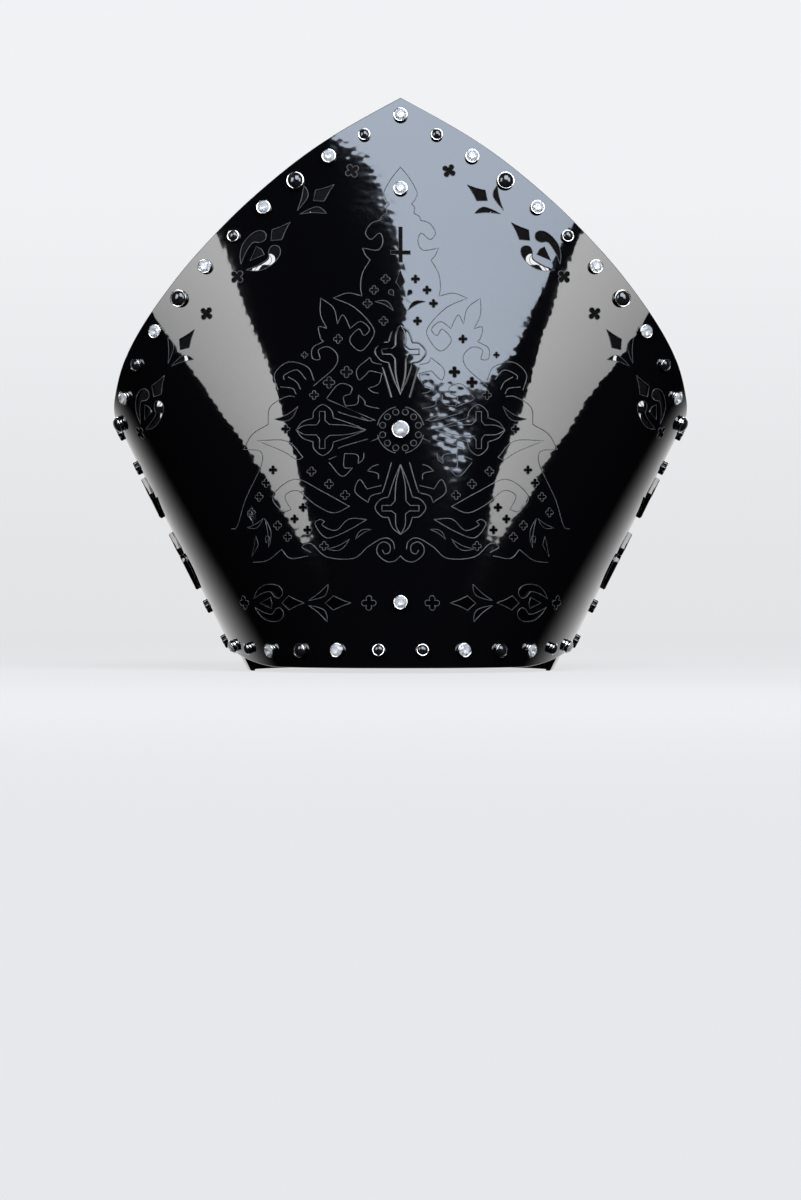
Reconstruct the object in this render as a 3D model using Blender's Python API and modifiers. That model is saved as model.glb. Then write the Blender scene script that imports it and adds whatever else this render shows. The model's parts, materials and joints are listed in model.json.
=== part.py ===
"""A bishop's mitre in stiff black patent leather, with pierced ornaments and set studs.

Units are metres, +Z is up and the wearer faces -Y. A front panel laps over a back panel at both
sides. The back panel's rim lies on Z = 0, and the origin is under the middle of the hat.
"""
import math
from collections import namedtuple

import bmesh
import bpy
from mathutils import Matrix, Vector

# The leather wall, measured on its outside
RIM_WIDTH = 0.1644          # side to side at the rim
SADDLE_WIDTH = 0.2954       # side to side at the low point of the top edge
FRONT_REACH = 0.1019        # from the side line forward to the rim
BACK_REACH = 0.1044         # from the side line back to the rim
PEAK_REACH = 0.0576         # from the side line forward to the front peak
PEAK_HEIGHT = 0.2895
SADDLE_HEIGHT = 0.1295      # of the top edge at the sides
FRONT_RIM_HEIGHT = 0.0025   # the front panel's rim above the back panel's
CORNER_RISE = 0.0080        # how far the front panel's rim climbs to its lower corners
CORNER_START = 45.0         # turn from the front, in degrees, at which that climb begins
LEATHER = 0.0022
LAP_GAP = 0.0003            # between the two panels where they lap

# The grid of each panel
COLUMN_TURN = 5.0           # degrees
LAP_COLUMNS = 2             # the front panel's columns behind each side line
TUCK_COLUMNS = 3            # the back panel's columns in front of each side line
ROWS = 4
TRIM = 0.006                # spare leather under the back rim, cut off flat

# The top edge from a peak (turn 0) to the saddle (turn 1), with its height as a share of the rise
EdgePoint = namedtuple("EdgePoint", "turn rise")
EDGE_CURVE = (
    EdgePoint(0.00, 1.000),
    EdgePoint(0.12, 0.852),
    EdgePoint(0.24, 0.683),
    EdgePoint(0.36, 0.516),
    EdgePoint(0.50, 0.344),
    EdgePoint(0.66, 0.186),
    EdgePoint(0.82, 0.064),
    EdgePoint(1.00, 0.000),
)

# Ornaments pierced through the leather
PUNCH_OUT = 0.0015          # how far a punch stands out of the wall
PUNCH_IN = 0.0042           # how deep it reaches into it, past the leather's inside
PEAK_MARGIN = 0.0190        # from the top edge to the middle line of the upper border, at the peak
FLANK_MARGIN = 0.0245       # the same further down the flanks
BAND_HEIGHT = 0.0347        # of the middle line of the lower band
KITE_LENGTH = 0.0134
FLEUR_LENGTH = 0.0230
PALMETTE_LENGTH = 0.0326
QUATREFOIL_REACH = 0.0037
QUATREFOIL_WAIST = 0.0017
LOBE_HALF_ANGLE = 18.0      # degrees

# Outlines as shares of the ornament's length: along it towards its tip, and across it
KITE = ((0.50, 0.0), (-0.19, 0.27), (-0.50, 0.0), (-0.19, -0.27))
CRESCENT = ((-0.03, 0.407), (-0.04, 0.274), (-0.10, 0.157), (-0.27, 0.091), (-0.496, 0.048),
            (-0.248, 0.207))
CURL = ((-0.497, 0.061), (-0.245, 0.160), (-0.123, 0.172), (-0.037, 0.086), (0.074, 0.086),
        (0.104, 0.184), (0.006, 0.273), (-0.190, 0.282), (-0.374, 0.202))
DART = ((-0.104, 0.0), (-0.129, 0.089), (-0.359, 0.0), (-0.129, -0.089))

# Where ornaments sit: kind, and share of the way along their row
Spot = namedtuple("Spot", "kind share")
UPPER_BORDER = (
    Spot("quatrefoil", 0.117),
    Spot("fleur", 0.211),
    Spot("palmette", 0.351),
    Spot("quatrefoil", 0.441),
    Spot("quatrefoil", 0.540),
    Spot("fleur", 0.628),
    Spot("palmette", 0.767),
    Spot("quatrefoil", 0.855),
)
LOWER_BAND = (
    Spot("quatrefoil", 0.102),
    Spot("fleur", 0.235),
    Spot("palmette", 0.428),
    Spot("quatrefoil", 0.583),
)
SIDE_COLUMN = (
    Spot("quatrefoil", 0.949),
    Spot("quatrefoil", 0.812),
    Spot("fleur", 0.692),
    Spot("palmette", 0.440),
    Spot("quatrefoil", 0.259),
    Spot("quatrefoil", 0.119),
)

# Studs: a round metal setting with a stone in it
SEAT_GAP = 0.0003           # between a stud and the leather
STUD_SIDES = 10
LIP_WIDTH = 0.0005          # the setting's rim round the stone
LIP_HEIGHT = 0.0017
EDGE_MARGIN = 0.0082        # from the top edge to the middle of the studs along it
LAST_EDGE_TURN = 79.0       # turn of the lowest stud on each side, in degrees
RIM_STUD_HEIGHT = 0.0113
RIM_STUD_CLIMB = 0.33       # share of the front rim's climb that its studs follow
LAST_RIM_TURN = 72.0        # turn of the outermost rim stud on each side, in degrees
UPPER_STUD_HEIGHT = 0.2426
MIDDLE_STUD_HEIGHT = 0.1207
LOWER_STUD_HEIGHT = BAND_HEIGHT

# Stud kinds: radius of the setting and height of the stone's top above the leather
StudSize = namedtuple("StudSize", "radius top")
STUD_KINDS = {
    "crystal": StudSize(0.0036, 0.0032),
    "great_crystal": StudSize(0.0044, 0.0038),
    "bead": StudSize(0.0031, 0.0031),
    "great_bead": StudSize(0.0044, 0.0040),
    "rim_bead": StudSize(0.0036, 0.0034),
}
TABLE_SHARE = 0.55          # a cut stone's flat table against its width
EDGE_ORDER = ("bead", "crystal", "great_bead", "crystal") * 2 + ("bead", "crystal", "great_bead")
RIM_ORDER = ("bead", "crystal", "rim_bead", "crystal", "bead", "crystal")

PATH_STEPS = 180
SLIDE_STEPS = 6


def clear_scene():
    """Remove whatever the file starts with."""
    for item in list(bpy.data.objects):
        bpy.data.objects.remove(item, do_unlink=True)


def make_collection(name):
    """A new collection in the scene."""
    collection = bpy.data.collections.new(name)
    bpy.context.scene.collection.children.link(collection)
    return collection


def make_material(name, colour, roughness, metallic=0.0):
    """A Principled material with a plain colour."""
    material = bpy.data.materials.new(name)
    material.use_nodes = True
    shader = material.node_tree.nodes["Principled BSDF"]
    shader.inputs["Base Color"].default_value = (*colour, 1.0)
    shader.inputs["Roughness"].default_value = roughness
    shader.inputs["Metallic"].default_value = metallic
    return material


# The wall's surface: an oval at every height, wider and shallower further up

def side_reach(height):
    """Half the width of the oval."""
    flare = (SADDLE_WIDTH - RIM_WIDTH) / 2 / SADDLE_HEIGHT
    return RIM_WIDTH / 2 + flare * height


def panel_lean():
    """How far the panels lean in for each metre of height."""
    return (FRONT_REACH - PEAK_REACH) / PEAK_HEIGHT


def fore_reach(turn, height):
    """Depth of the oval's front or back half, whichever the turn is in."""
    rim = FRONT_REACH if math.cos(turn) > 0 else BACK_REACH
    return rim - panel_lean() * height


def wall_axes(turn, height):
    """The level, upward and outward directions, and how fast the surface runs along them."""
    flare = side_reach(1.0) - side_reach(0.0)
    wide = side_reach(height)
    deep = fore_reach(turn, height)
    along = Vector((wide * math.cos(turn), deep * math.sin(turn), 0.0))
    rising = Vector((flare * math.sin(turn), panel_lean() * math.cos(turn), 1.0))
    outward = along.cross(rising).normalized()
    level = along.normalized()
    upward = outward.cross(level)
    return level, upward, outward, along.length, rising


def wall_point(turn, height, inset=0.0):
    """A point on the wall, set back from its outside by the inset."""
    wide = side_reach(height)
    deep = fore_reach(turn, height)
    outside = Vector((wide * math.sin(turn), -deep * math.cos(turn), height))
    return outside - wall_axes(turn, height)[2] * inset


def tuck_inset():
    """How far the back panel is set back, so that it passes inside the front panel."""
    return LEATHER + LAP_GAP


def slide(turn, height, across, up):
    """Walk over the surface by two lengths, across and up, from one turn and height to another."""
    for _ in range(SLIDE_STEPS):
        level, upward, _, stretch, rising = wall_axes(turn, height)
        climb = up / SLIDE_STEPS / rising.dot(upward)
        turn += (across / SLIDE_STEPS - climb * rising.dot(level)) / stretch
        height += climb
    return turn, height


def wall_frame(turn, height, heading, proud=0.0):
    """A frame on the wall: X along the heading, Z outward, lifted clear by the proud height."""
    level, upward, outward, _, _ = wall_axes(turn, height)
    forward = level * math.cos(heading) + upward * math.sin(heading)
    sideways = outward.cross(forward)
    place = wall_point(turn, height) + outward * proud
    rows = (forward, sideways, outward)
    return Matrix.Translation(place) @ Matrix(rows).transposed().to_4x4()


# The panels' edges

def quarter_share(turn):
    """How far a turn is from the nearer peak, as a share of a quarter turn."""
    degrees = abs(math.degrees(turn)) % 360.0
    from_front = min(degrees, 360.0 - degrees)
    return min(from_front, 180.0 - from_front) / 90.0


def edge_slope(index):
    """Slope of the top edge's curve at a row of its table: flat at the saddle, free at the peak."""
    if index == len(EDGE_CURVE) - 1:
        return 0.0
    before = EDGE_CURVE[max(index - 1, 0)]
    after = EDGE_CURVE[index + 1]
    return (after.rise - before.rise) / (after.turn - before.turn)


def edge_height(turn):
    """Height of the top edge, on a smooth curve through the table's rows."""
    share = quarter_share(turn)
    last = len(EDGE_CURVE) - 2
    index = max(i for i in range(last + 1) if EDGE_CURVE[i].turn <= share or i == 0)
    start, end = EDGE_CURVE[index], EDGE_CURVE[index + 1]
    span = end.turn - start.turn
    t = (share - start.turn) / span
    rise = (
        (2 * t**3 - 3 * t**2 + 1) * start.rise
        + (t**3 - 2 * t**2 + t) * span * edge_slope(index)
        + (3 * t**2 - 2 * t**3) * end.rise
        + (t**3 - t**2) * span * edge_slope(index + 1)
    )
    return SADDLE_HEIGHT + (PEAK_HEIGHT - SADDLE_HEIGHT) * rise


def corner_climb(turn):
    """How far the front rim has climbed at a turn, in a smooth step from the corner's start."""
    share = (abs(math.degrees(turn)) - CORNER_START) / (90.0 - CORNER_START)
    share = min(max(share, 0.0), 1.0)
    return CORNER_RISE * math.sin(share * math.pi / 2) ** 2


def front_rim(turn):
    """Height of the front panel's lower edge."""
    return FRONT_RIM_HEIGHT + corner_climb(turn)


def back_rim(_turn):
    """Height of the back panel's lower edge before it is trimmed flat."""
    return -TRIM


def edge_path(peak_margin, flank_margin):
    """Points inside the top edge, from under the peak to the side line.

    Each is (length so far, turn, height, heading towards the peak)."""
    path = []
    length = 0.0
    previous = None
    for step in range(PATH_STEPS + 1):
        turn = step / PATH_STEPS * math.pi / 2
        height = edge_height(turn)
        margin = peak_margin + (flank_margin - peak_margin) * math.sin(min(2 * turn, math.pi / 2))
        nudge = 0.001
        slope = (edge_height(turn + nudge) - height) / nudge if step < PATH_STEPS else 0.0
        level, upward, _, stretch, rising = wall_axes(turn, height)
        run = stretch + slope * rising.dot(level)
        climb = slope * rising.dot(upward)
        size = math.hypot(run, climb)
        inner = slide(turn, height, margin * climb / size, -margin * run / size)
        if inner[0] < 0.0:
            continue
        place = wall_point(*inner)
        if previous is not None:
            length += (place - previous).length
        previous = place
        path.append((length, *inner, math.atan2(-climb, -run)))
    return path


def path_at(path, length):
    """Turn, height and heading at a length along a path."""
    for before, after in zip(path, path[1:]):
        if after[0] >= length:
            share = (length - before[0]) / (after[0] - before[0])
            return tuple(before[i] + (after[i] - before[i]) * share for i in (1, 2, 3))
    return path[-1][1:]


def level_path(height_at, last_turn):
    """Points along a level row from the front to a turn, as (length so far, turn, height, heading)."""
    path = []
    length = 0.0
    previous = None
    for step in range(PATH_STEPS + 1):
        turn = step / PATH_STEPS * last_turn
        height = height_at(turn)
        place = wall_point(turn, height)
        if previous is not None:
            length += (place - previous).length
        previous = place
        path.append((length, turn, height, math.pi))
    return path


# Building blocks

def evaluated_mesh(item):
    """The object's mesh with its modifiers applied and loose caps welded."""
    view_layer = bpy.context.view_layer
    view_layer.update()
    graph = bpy.context.evaluated_depsgraph_get()
    mesh = bpy.data.meshes.new_from_object(item.evaluated_get(graph))
    shape = bmesh.new()
    shape.from_mesh(mesh)
    bmesh.ops.remove_doubles(shape, verts=shape.verts, dist=1e-6)
    bmesh.ops.recalc_face_normals(shape, faces=shape.faces)
    shape.to_mesh(mesh)
    shape.free()
    return mesh


def punch_mesh(name, outline, collection):
    """A straight punch of the outline's shape, long enough to go through the leather."""
    curve = bpy.data.curves.new(name, "CURVE")
    curve.dimensions = "2D"
    curve.fill_mode = "BOTH"
    curve.extrude = (PUNCH_OUT + PUNCH_IN) / 2
    spline = curve.splines.new("POLY")
    spline.points.add(len(outline) - 1)
    for point, (along, across) in zip(spline.points, outline):
        point.co = (along, across, 0.0, 1.0)
    spline.use_cyclic_u = True
    item = bpy.data.objects.new(name, curve)
    collection.objects.link(item)
    mesh = evaluated_mesh(item)
    bpy.data.objects.remove(item, do_unlink=True)
    return mesh


def scaled(outline, size, side=1):
    """An outline of shares made real, mirrored across the ornament for side -1."""
    return tuple((along * size, across * size * side) for along, across in outline)


def centred(outline):
    """An outline moved to its own middle, with that middle."""
    middle = tuple(sum(point[i] for point in outline) / len(outline) for i in (0, 1))
    return tuple((along - middle[0], across - middle[1]) for along, across in outline), middle


def quatrefoil_outline():
    """Four lobes, along and across the row."""
    points = []
    half = math.radians(LOBE_HALF_ANGLE)
    for quarter in range(4):
        lobe = quarter * math.pi / 2
        points.append((QUATREFOIL_REACH * math.cos(lobe - half), QUATREFOIL_REACH * math.sin(lobe - half)))
        points.append((QUATREFOIL_REACH * math.cos(lobe + half), QUATREFOIL_REACH * math.sin(lobe + half)))
        notch = lobe + math.pi / 4
        points.append((QUATREFOIL_WAIST * math.cos(notch), QUATREFOIL_WAIST * math.sin(notch)))
    return tuple(points)


def ornament_punches(collection):
    """Every kind of ornament as a list of (punch mesh, its middle along and across)."""
    tip_kite = scaled(KITE, KITE_LENGTH)
    fleur_shift = (FLEUR_LENGTH - KITE_LENGTH) / 2
    palmette_shift = (PALMETTE_LENGTH - KITE_LENGTH) / 2
    outlines = {
        "quatrefoil": [quatrefoil_outline()],
        "fleur": [
            tuple((along + fleur_shift, across) for along, across in tip_kite),
            scaled(CRESCENT, FLEUR_LENGTH),
            scaled(CRESCENT, FLEUR_LENGTH, -1),
        ],
        "palmette": [
            tuple((along + palmette_shift, across) for along, across in tip_kite),
            scaled(CURL, PALMETTE_LENGTH),
            scaled(CURL, PALMETTE_LENGTH, -1),
            scaled(DART, PALMETTE_LENGTH),
        ],
    }
    punches = {}
    for kind, shapes in outlines.items():
        punches[kind] = []
        for number, shape in enumerate(shapes):
            outline, middle = centred(shape)
            punches[kind].append((punch_mesh(f"{kind}_{number}", outline, collection), middle))
    return punches


def add_ornament(shape, punches, turn, height, heading, inset):
    """Put one ornament's punches on a panel set back by the inset, each square to the wall."""
    for mesh, (along, across) in punches:
        ahead = along * math.cos(heading) - across * math.sin(heading)
        above = along * math.sin(heading) + across * math.cos(heading)
        punch_turn, punch_height = slide(turn, height, ahead, above)
        place = wall_frame(punch_turn, punch_height, heading, (PUNCH_OUT - PUNCH_IN) / 2 - inset)
        first = len(shape.verts)
        shape.from_mesh(mesh)
        shape.verts.ensure_lookup_table()
        bmesh.ops.transform(shape, matrix=place, verts=shape.verts[first:])


def add_border(shape, kind, punches, path, table, turned):
    """One kind of ornament along a row, on both sides of the front or turned half round for the back."""
    whole = path[-1][0]
    inset = tuck_inset() if turned else 0.0
    for spot in table:
        if spot.kind != kind:
            continue
        turn, height, heading = path_at(path, whole * spot.share)
        if turned:
            turn = math.pi - turn
            heading = math.pi - heading
        add_ornament(shape, punches, turn, height, heading, inset)
        add_ornament(shape, punches, -turn, height, math.pi - heading, inset)


def punches_object(name, kind, punches, turned, collection):
    """One kind of ornament's punches for one panel, as a helper shape to be cut out of it."""
    shape = bmesh.new()
    add_border(shape, kind, punches, edge_path(PEAK_MARGIN, FLANK_MARGIN), UPPER_BORDER, turned)
    if not turned:
        band = level_path(lambda _turn: BAND_HEIGHT, math.pi / 2)
        add_border(shape, kind, punches, band, LOWER_BAND, turned)
        for spot in SIDE_COLUMN:
            if spot.kind == kind:
                height = SADDLE_HEIGHT * spot.share
                add_ornament(shape, punches, math.pi / 2, height, math.pi / 2, 0.0)
                add_ornament(shape, punches, -math.pi / 2, height, math.pi / 2, 0.0)
    mesh = bpy.data.meshes.new(name)
    shape.to_mesh(mesh)
    shape.free()
    return helper_object(name, mesh, collection)


def helper_object(name, mesh, collection):
    """An object that only shapes others: not rendered, drawn as wire."""
    item = bpy.data.objects.new(name, mesh)
    item.hide_render = True
    item.display_type = "WIRE"
    collection.objects.link(item)
    return item


def panel_object(name, first_turn, last_turn, rim_at, inset, collection, material):
    """A panel as an open surface between two turns, thickened inwards to the leather's thickness."""
    columns = round((last_turn - first_turn) / COLUMN_TURN)
    shape = bmesh.new()
    bmesh.ops.create_grid(shape, x_segments=columns, y_segments=ROWS, size=0.5)
    for vertex in shape.verts:
        across = vertex.co.x + 0.5
        up = vertex.co.y + 0.5
        turn = math.radians(first_turn + (last_turn - first_turn) * across)
        low = rim_at(turn)
        vertex.co = wall_point(turn, low + (edge_height(turn) - low) * up, inset)
    bmesh.ops.recalc_face_normals(shape, faces=shape.faces)
    middle = shape.faces[:][len(shape.faces) // 2]
    if middle.normal.dot(middle.calc_center_median() * Vector((1.0, 1.0, 0.0))) < 0:
        bmesh.ops.reverse_faces(shape, faces=shape.faces)
    mesh = bpy.data.meshes.new(name)
    shape.to_mesh(mesh)
    shape.free()
    mesh.materials.append(material)
    item = bpy.data.objects.new(name, mesh)
    collection.objects.link(item)
    wall = item.modifiers.new("leather", "SOLIDIFY")
    wall.thickness = LEATHER
    wall.offset = -1.0
    wall.use_even_offset = True
    return item


def cut_off(item, other):
    """Cut another shape off an object."""
    step = item.modifiers.new(other.name, "BOOLEAN")
    step.operation = "DIFFERENCE"
    step.solver = "EXACT"
    step.object = other


def pierce(panel, punches, turned, collection):
    """Cut the ornaments out of a panel, one kind at a time."""
    for kind in punches:
        name = f"{panel.name}_{kind}_punches"
        cut_off(panel, punches_object(name, kind, punches[kind], turned, collection))


def build_panels(parts, helpers, leather):
    """The front panel, and the back panel tucked inside its side edges."""
    punches = ornament_punches(helpers)
    front_end = 90.0 + LAP_COLUMNS * COLUMN_TURN
    front = panel_object("front_panel", -front_end, front_end, front_rim, 0.0, parts, leather)
    pierce(front, punches, False, helpers)

    back_start = 90.0 - TUCK_COLUMNS * COLUMN_TURN
    back_end = 360.0 - back_start
    back = panel_object("back_panel", back_start, back_end, back_rim, tuck_inset(), parts, leather)
    pierce(back, punches, True, helpers)
    floor_mesh = bpy.data.meshes.new("rim_trim")
    floor_shape = bmesh.new()
    bmesh.ops.create_cube(floor_shape, size=2 * SADDLE_WIDTH)
    bmesh.ops.translate(floor_shape, verts=floor_shape.verts, vec=(0.0, 0.0, -SADDLE_WIDTH))
    floor_shape.to_mesh(floor_mesh)
    floor_shape.free()
    cut_off(back, helper_object("rim_trim", floor_mesh, helpers))


def stone_profile(kind):
    """Half outline of a stud from the top of its stone down to its base."""
    radius, top = STUD_KINDS[kind]
    stone = radius - LIP_WIDTH
    if "crystal" in kind:
        crown = [(0.0, top), (stone * TABLE_SHARE, top), (stone, LIP_HEIGHT)]
    else:
        dome = top - LIP_HEIGHT
        crown = [(0.0, top), (stone * 0.6, LIP_HEIGHT + dome * 0.8), (stone, LIP_HEIGHT)]
    return crown + [(radius, LIP_HEIGHT), (radius, 0.0), (0.0, 0.0)]


def stud_mesh(kind, collection, material):
    """A stud turned from its profile, standing on its base."""
    profile = bpy.data.meshes.new(kind)
    points = [(across, 0.0, up) for across, up in stone_profile(kind)]
    edges = [(i, i + 1) for i in range(len(points) - 1)]
    profile.from_pydata(points, edges, [])
    item = bpy.data.objects.new(kind, profile)
    collection.objects.link(item)
    turned = item.modifiers.new("turned", "SCREW")
    turned.steps = STUD_SIDES
    turned.render_steps = STUD_SIDES
    turned.use_merge_vertices = True
    turned.merge_threshold = 0.00001
    mesh = evaluated_mesh(item)
    mesh.name = kind
    mesh.materials.append(material)
    bpy.data.objects.remove(item, do_unlink=True)
    return mesh


def add_stud(name, mesh, collection, turn, height):
    """Stand a stud on the front panel."""
    item = bpy.data.objects.new(name, mesh)
    collection.objects.link(item)
    item.matrix_world = wall_frame(turn, height, 0.0, SEAT_GAP)


def build_studs(parts, helpers, crystal, onyx):
    """The studs along the top edge, along the rim and down the middle of the front."""
    meshes = {}
    for kind in STUD_KINDS:
        meshes[kind] = stud_mesh(kind, helpers, crystal if "crystal" in kind else onyx)

    edge = edge_path(EDGE_MARGIN, EDGE_MARGIN)
    last = math.radians(LAST_EDGE_TURN)
    reach = max(point[0] for point in edge if point[1] <= last)
    add_stud("peak_stud", meshes["crystal"], parts, 0.0, path_at(edge, 0.0)[1])
    for number, kind in enumerate(EDGE_ORDER, start=1):
        turn, height, _ = path_at(edge, reach * number / len(EDGE_ORDER))
        add_stud(f"edge_stud_left_{number:02d}", meshes[kind], parts, -turn, height)
        add_stud(f"edge_stud_right_{number:02d}", meshes[kind], parts, turn, height)

    rim = level_path(
        lambda turn: RIM_STUD_HEIGHT + RIM_STUD_CLIMB * corner_climb(turn), math.radians(LAST_RIM_TURN)
    )
    pitches = len(RIM_ORDER) - 0.5
    for number, kind in enumerate(RIM_ORDER, start=1):
        turn, height, _ = path_at(rim, rim[-1][0] * (number - 0.5) / pitches)
        add_stud(f"rim_stud_left_{number}", meshes[kind], parts, -turn, height)
        add_stud(f"rim_stud_right_{number}", meshes[kind], parts, turn, height)

    add_stud("centre_stud_upper", meshes["crystal"], parts, 0.0, UPPER_STUD_HEIGHT)
    add_stud("centre_stud_middle", meshes["great_crystal"], parts, 0.0, MIDDLE_STUD_HEIGHT)
    add_stud("centre_stud_lower", meshes["crystal"], parts, 0.0, LOWER_STUD_HEIGHT)


def main():
    clear_scene()
    parts = make_collection("bishop_mitre")
    helpers = make_collection("helpers")
    leather = make_material("patent_leather", (0.012, 0.012, 0.014), 0.06)
    crystal = make_material("crystal", (0.90, 0.91, 0.93), 0.05)
    onyx = make_material("onyx", (0.010, 0.010, 0.012), 0.05)
    build_panels(parts, helpers, leather)
    build_studs(parts, helpers, crystal, onyx)
    print(len(parts.objects), "pieces in", parts.name)


main()
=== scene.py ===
import json
import math

import bmesh
import bpy
from mathutils import Matrix, Vector

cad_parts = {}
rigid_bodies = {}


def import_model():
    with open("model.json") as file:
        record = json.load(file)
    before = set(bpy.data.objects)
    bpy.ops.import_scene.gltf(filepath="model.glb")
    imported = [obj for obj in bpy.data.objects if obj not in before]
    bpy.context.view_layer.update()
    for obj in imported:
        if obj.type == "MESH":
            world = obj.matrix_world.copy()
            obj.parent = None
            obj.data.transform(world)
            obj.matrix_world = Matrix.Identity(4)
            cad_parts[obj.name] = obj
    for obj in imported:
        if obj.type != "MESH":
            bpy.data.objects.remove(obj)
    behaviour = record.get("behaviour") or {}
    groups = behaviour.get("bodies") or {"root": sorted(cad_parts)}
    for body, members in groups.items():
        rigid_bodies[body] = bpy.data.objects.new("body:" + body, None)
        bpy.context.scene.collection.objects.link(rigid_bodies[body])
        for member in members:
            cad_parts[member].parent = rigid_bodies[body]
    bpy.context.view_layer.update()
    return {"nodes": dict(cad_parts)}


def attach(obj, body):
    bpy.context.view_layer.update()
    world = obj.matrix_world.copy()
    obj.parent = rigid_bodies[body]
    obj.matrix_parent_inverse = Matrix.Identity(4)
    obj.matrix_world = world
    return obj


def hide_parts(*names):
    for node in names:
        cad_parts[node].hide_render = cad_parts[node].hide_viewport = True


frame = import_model()

# %% [markdown]
# ## The shape of the wall
#
# Stiff leather can bend but not stretch, so the hat's wall is a surface made of straight lines
# that run from the rim upwards. At every height its section is an oval, which gets wider and
# shallower further up. It could be modelled by hand from a bent sheet, but a rule is exact: give it
# a turn round the hat and a height, and it gives the point. Everything else is placed with it.
# %% The rule for the wall
RIM_WIDTH = 0.1644
SADDLE_WIDTH = 0.2954
FRONT_REACH = 0.1019
BACK_REACH = 0.1044
PEAK_REACH = 0.0576
PEAK_HEIGHT = 0.2895
SADDLE_HEIGHT = 0.1295


def side_reach(height):
    """Half the width of the oval."""
    return RIM_WIDTH / 2 + (SADDLE_WIDTH - RIM_WIDTH) / 2 / SADDLE_HEIGHT * height


def panel_lean():
    """How far the panels lean in for each metre of height."""
    return (FRONT_REACH - PEAK_REACH) / PEAK_HEIGHT


def fore_reach(turn, height):
    """Depth of the oval's front or back half."""
    rim = FRONT_REACH if math.cos(turn) > 0 else BACK_REACH
    return rim - panel_lean() * height


def wall_axes(turn, height):
    """The level, upward and outward directions, and how fast the surface runs along them."""
    flare = side_reach(1.0) - side_reach(0.0)
    along = Vector((side_reach(height) * math.cos(turn), fore_reach(turn, height) * math.sin(turn), 0.0))
    rising = Vector((flare * math.sin(turn), panel_lean() * math.cos(turn), 1.0))
    outward = along.cross(rising).normalized()
    level = along.normalized()
    return level, outward.cross(level), outward, along.length, rising


def wall_point(turn, height, inset=0.0):
    """A point on the wall, set back from its outside by the inset."""
    wide, deep = side_reach(height), fore_reach(turn, height)
    outside = Vector((wide * math.sin(turn), -deep * math.cos(turn), height))
    return outside - wall_axes(turn, height)[2] * inset


widths = [round(2 * side_reach(height), 4) for height in (0.0, SADDLE_HEIGHT)]
print("the oval is", widths[0], "wide at the rim and", widths[1], "at the saddle")

# %% Walking over the wall
SLIDE_STEPS = 6


def slide(turn, height, across, up):
    """Walk over the surface by two lengths, from one turn and height to another."""
    for _ in range(SLIDE_STEPS):
        level, upward, _, stretch, rising = wall_axes(turn, height)
        climb = up / SLIDE_STEPS / rising.dot(upward)
        turn += (across / SLIDE_STEPS - climb * rising.dot(level)) / stretch
        height += climb
    return turn, height


def wall_frame(turn, height, heading, proud=0.0):
    """A frame on the wall: X along the heading, Z outward, lifted clear by the proud height."""
    level, upward, outward, _, _ = wall_axes(turn, height)
    forward = level * math.cos(heading) + upward * math.sin(heading)
    rows = (forward, outward.cross(forward), outward)
    place = wall_point(turn, height) + outward * proud
    return Matrix.Translation(place) @ Matrix(rows).transposed().to_4x4()


# %% The top edge
EDGE_CURVE = (  # turn as a share of a quarter, height as a share of the rise
    (0.00, 1.000),
    (0.12, 0.852),
    (0.24, 0.683),
    (0.36, 0.516),
    (0.50, 0.344),
    (0.66, 0.186),
    (0.82, 0.064),
    (1.00, 0.000),
)


def edge_slope(index):
    """Slope of the edge's curve at a row of the table: flat at the saddle, free at the peak."""
    if index == len(EDGE_CURVE) - 1:
        return 0.0
    (turn_0, rise_0), (turn_1, rise_1) = EDGE_CURVE[max(index - 1, 0)], EDGE_CURVE[index + 1]
    return (rise_1 - rise_0) / (turn_1 - turn_0)


def edge_height(turn):
    """Height of the top edge, on a smooth curve through the table's rows."""
    degrees = abs(math.degrees(turn)) % 360.0
    from_front = min(degrees, 360.0 - degrees)
    share = min(from_front, 180.0 - from_front) / 90.0
    index = max(i for i in range(len(EDGE_CURVE) - 1) if EDGE_CURVE[i][0] <= share or i == 0)
    (turn_0, rise_0), (turn_1, rise_1) = EDGE_CURVE[index], EDGE_CURVE[index + 1]
    span = turn_1 - turn_0
    t = (share - turn_0) / span
    rise = (2 * t**3 - 3 * t**2 + 1) * rise_0 + (t**3 - 2 * t**2 + t) * span * edge_slope(index)
    rise += (3 * t**2 - 2 * t**3) * rise_1 + (t**3 - t**2) * span * edge_slope(index + 1)
    return SADDLE_HEIGHT + (PEAK_HEIGHT - SADDLE_HEIGHT) * rise


print("top edge from", round(edge_height(math.pi / 2), 4), "at the sides to", edge_height(0.0), "at peaks")

# %% [markdown]
# ## Finishes
#
# Patent leather is leather under a thick clear lacquer. It reflects like black glass, but the hide
# under it is never flat: broad waves bend the reflections and a fine orange peel frays their
# edges. Two layers of bump do that, one wide and one fine. The colour itself stays almost black,
# with a slightly uneven roughness where fingers and polish have been. Round the holes and along the
# lines the colour is an uneven dark grey, a painted highlight for the light that these fine edges catch.
# %% Helpers for materials
def new_material(name, colour, roughness, **settings):
    """A Principled material, with more of its sockets set by name."""
    material = bpy.data.materials.new(name)
    material.use_nodes = True
    shader = material.node_tree.nodes["Principled BSDF"]
    shader.inputs["Base Color"].default_value = (*colour, 1.0)
    shader.inputs["Roughness"].default_value = roughness
    for socket, value in settings.items():
        shader.inputs[socket.replace("_", " ")].default_value = value
    material.diffuse_color = (*colour, 1.0)
    return material


def add_node(tree, kind, **settings):
    """A node in a tree, with its properties set by name."""
    node = tree.nodes.new(kind)
    for name, value in settings.items():
        setattr(node, name, value)
    return node


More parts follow.
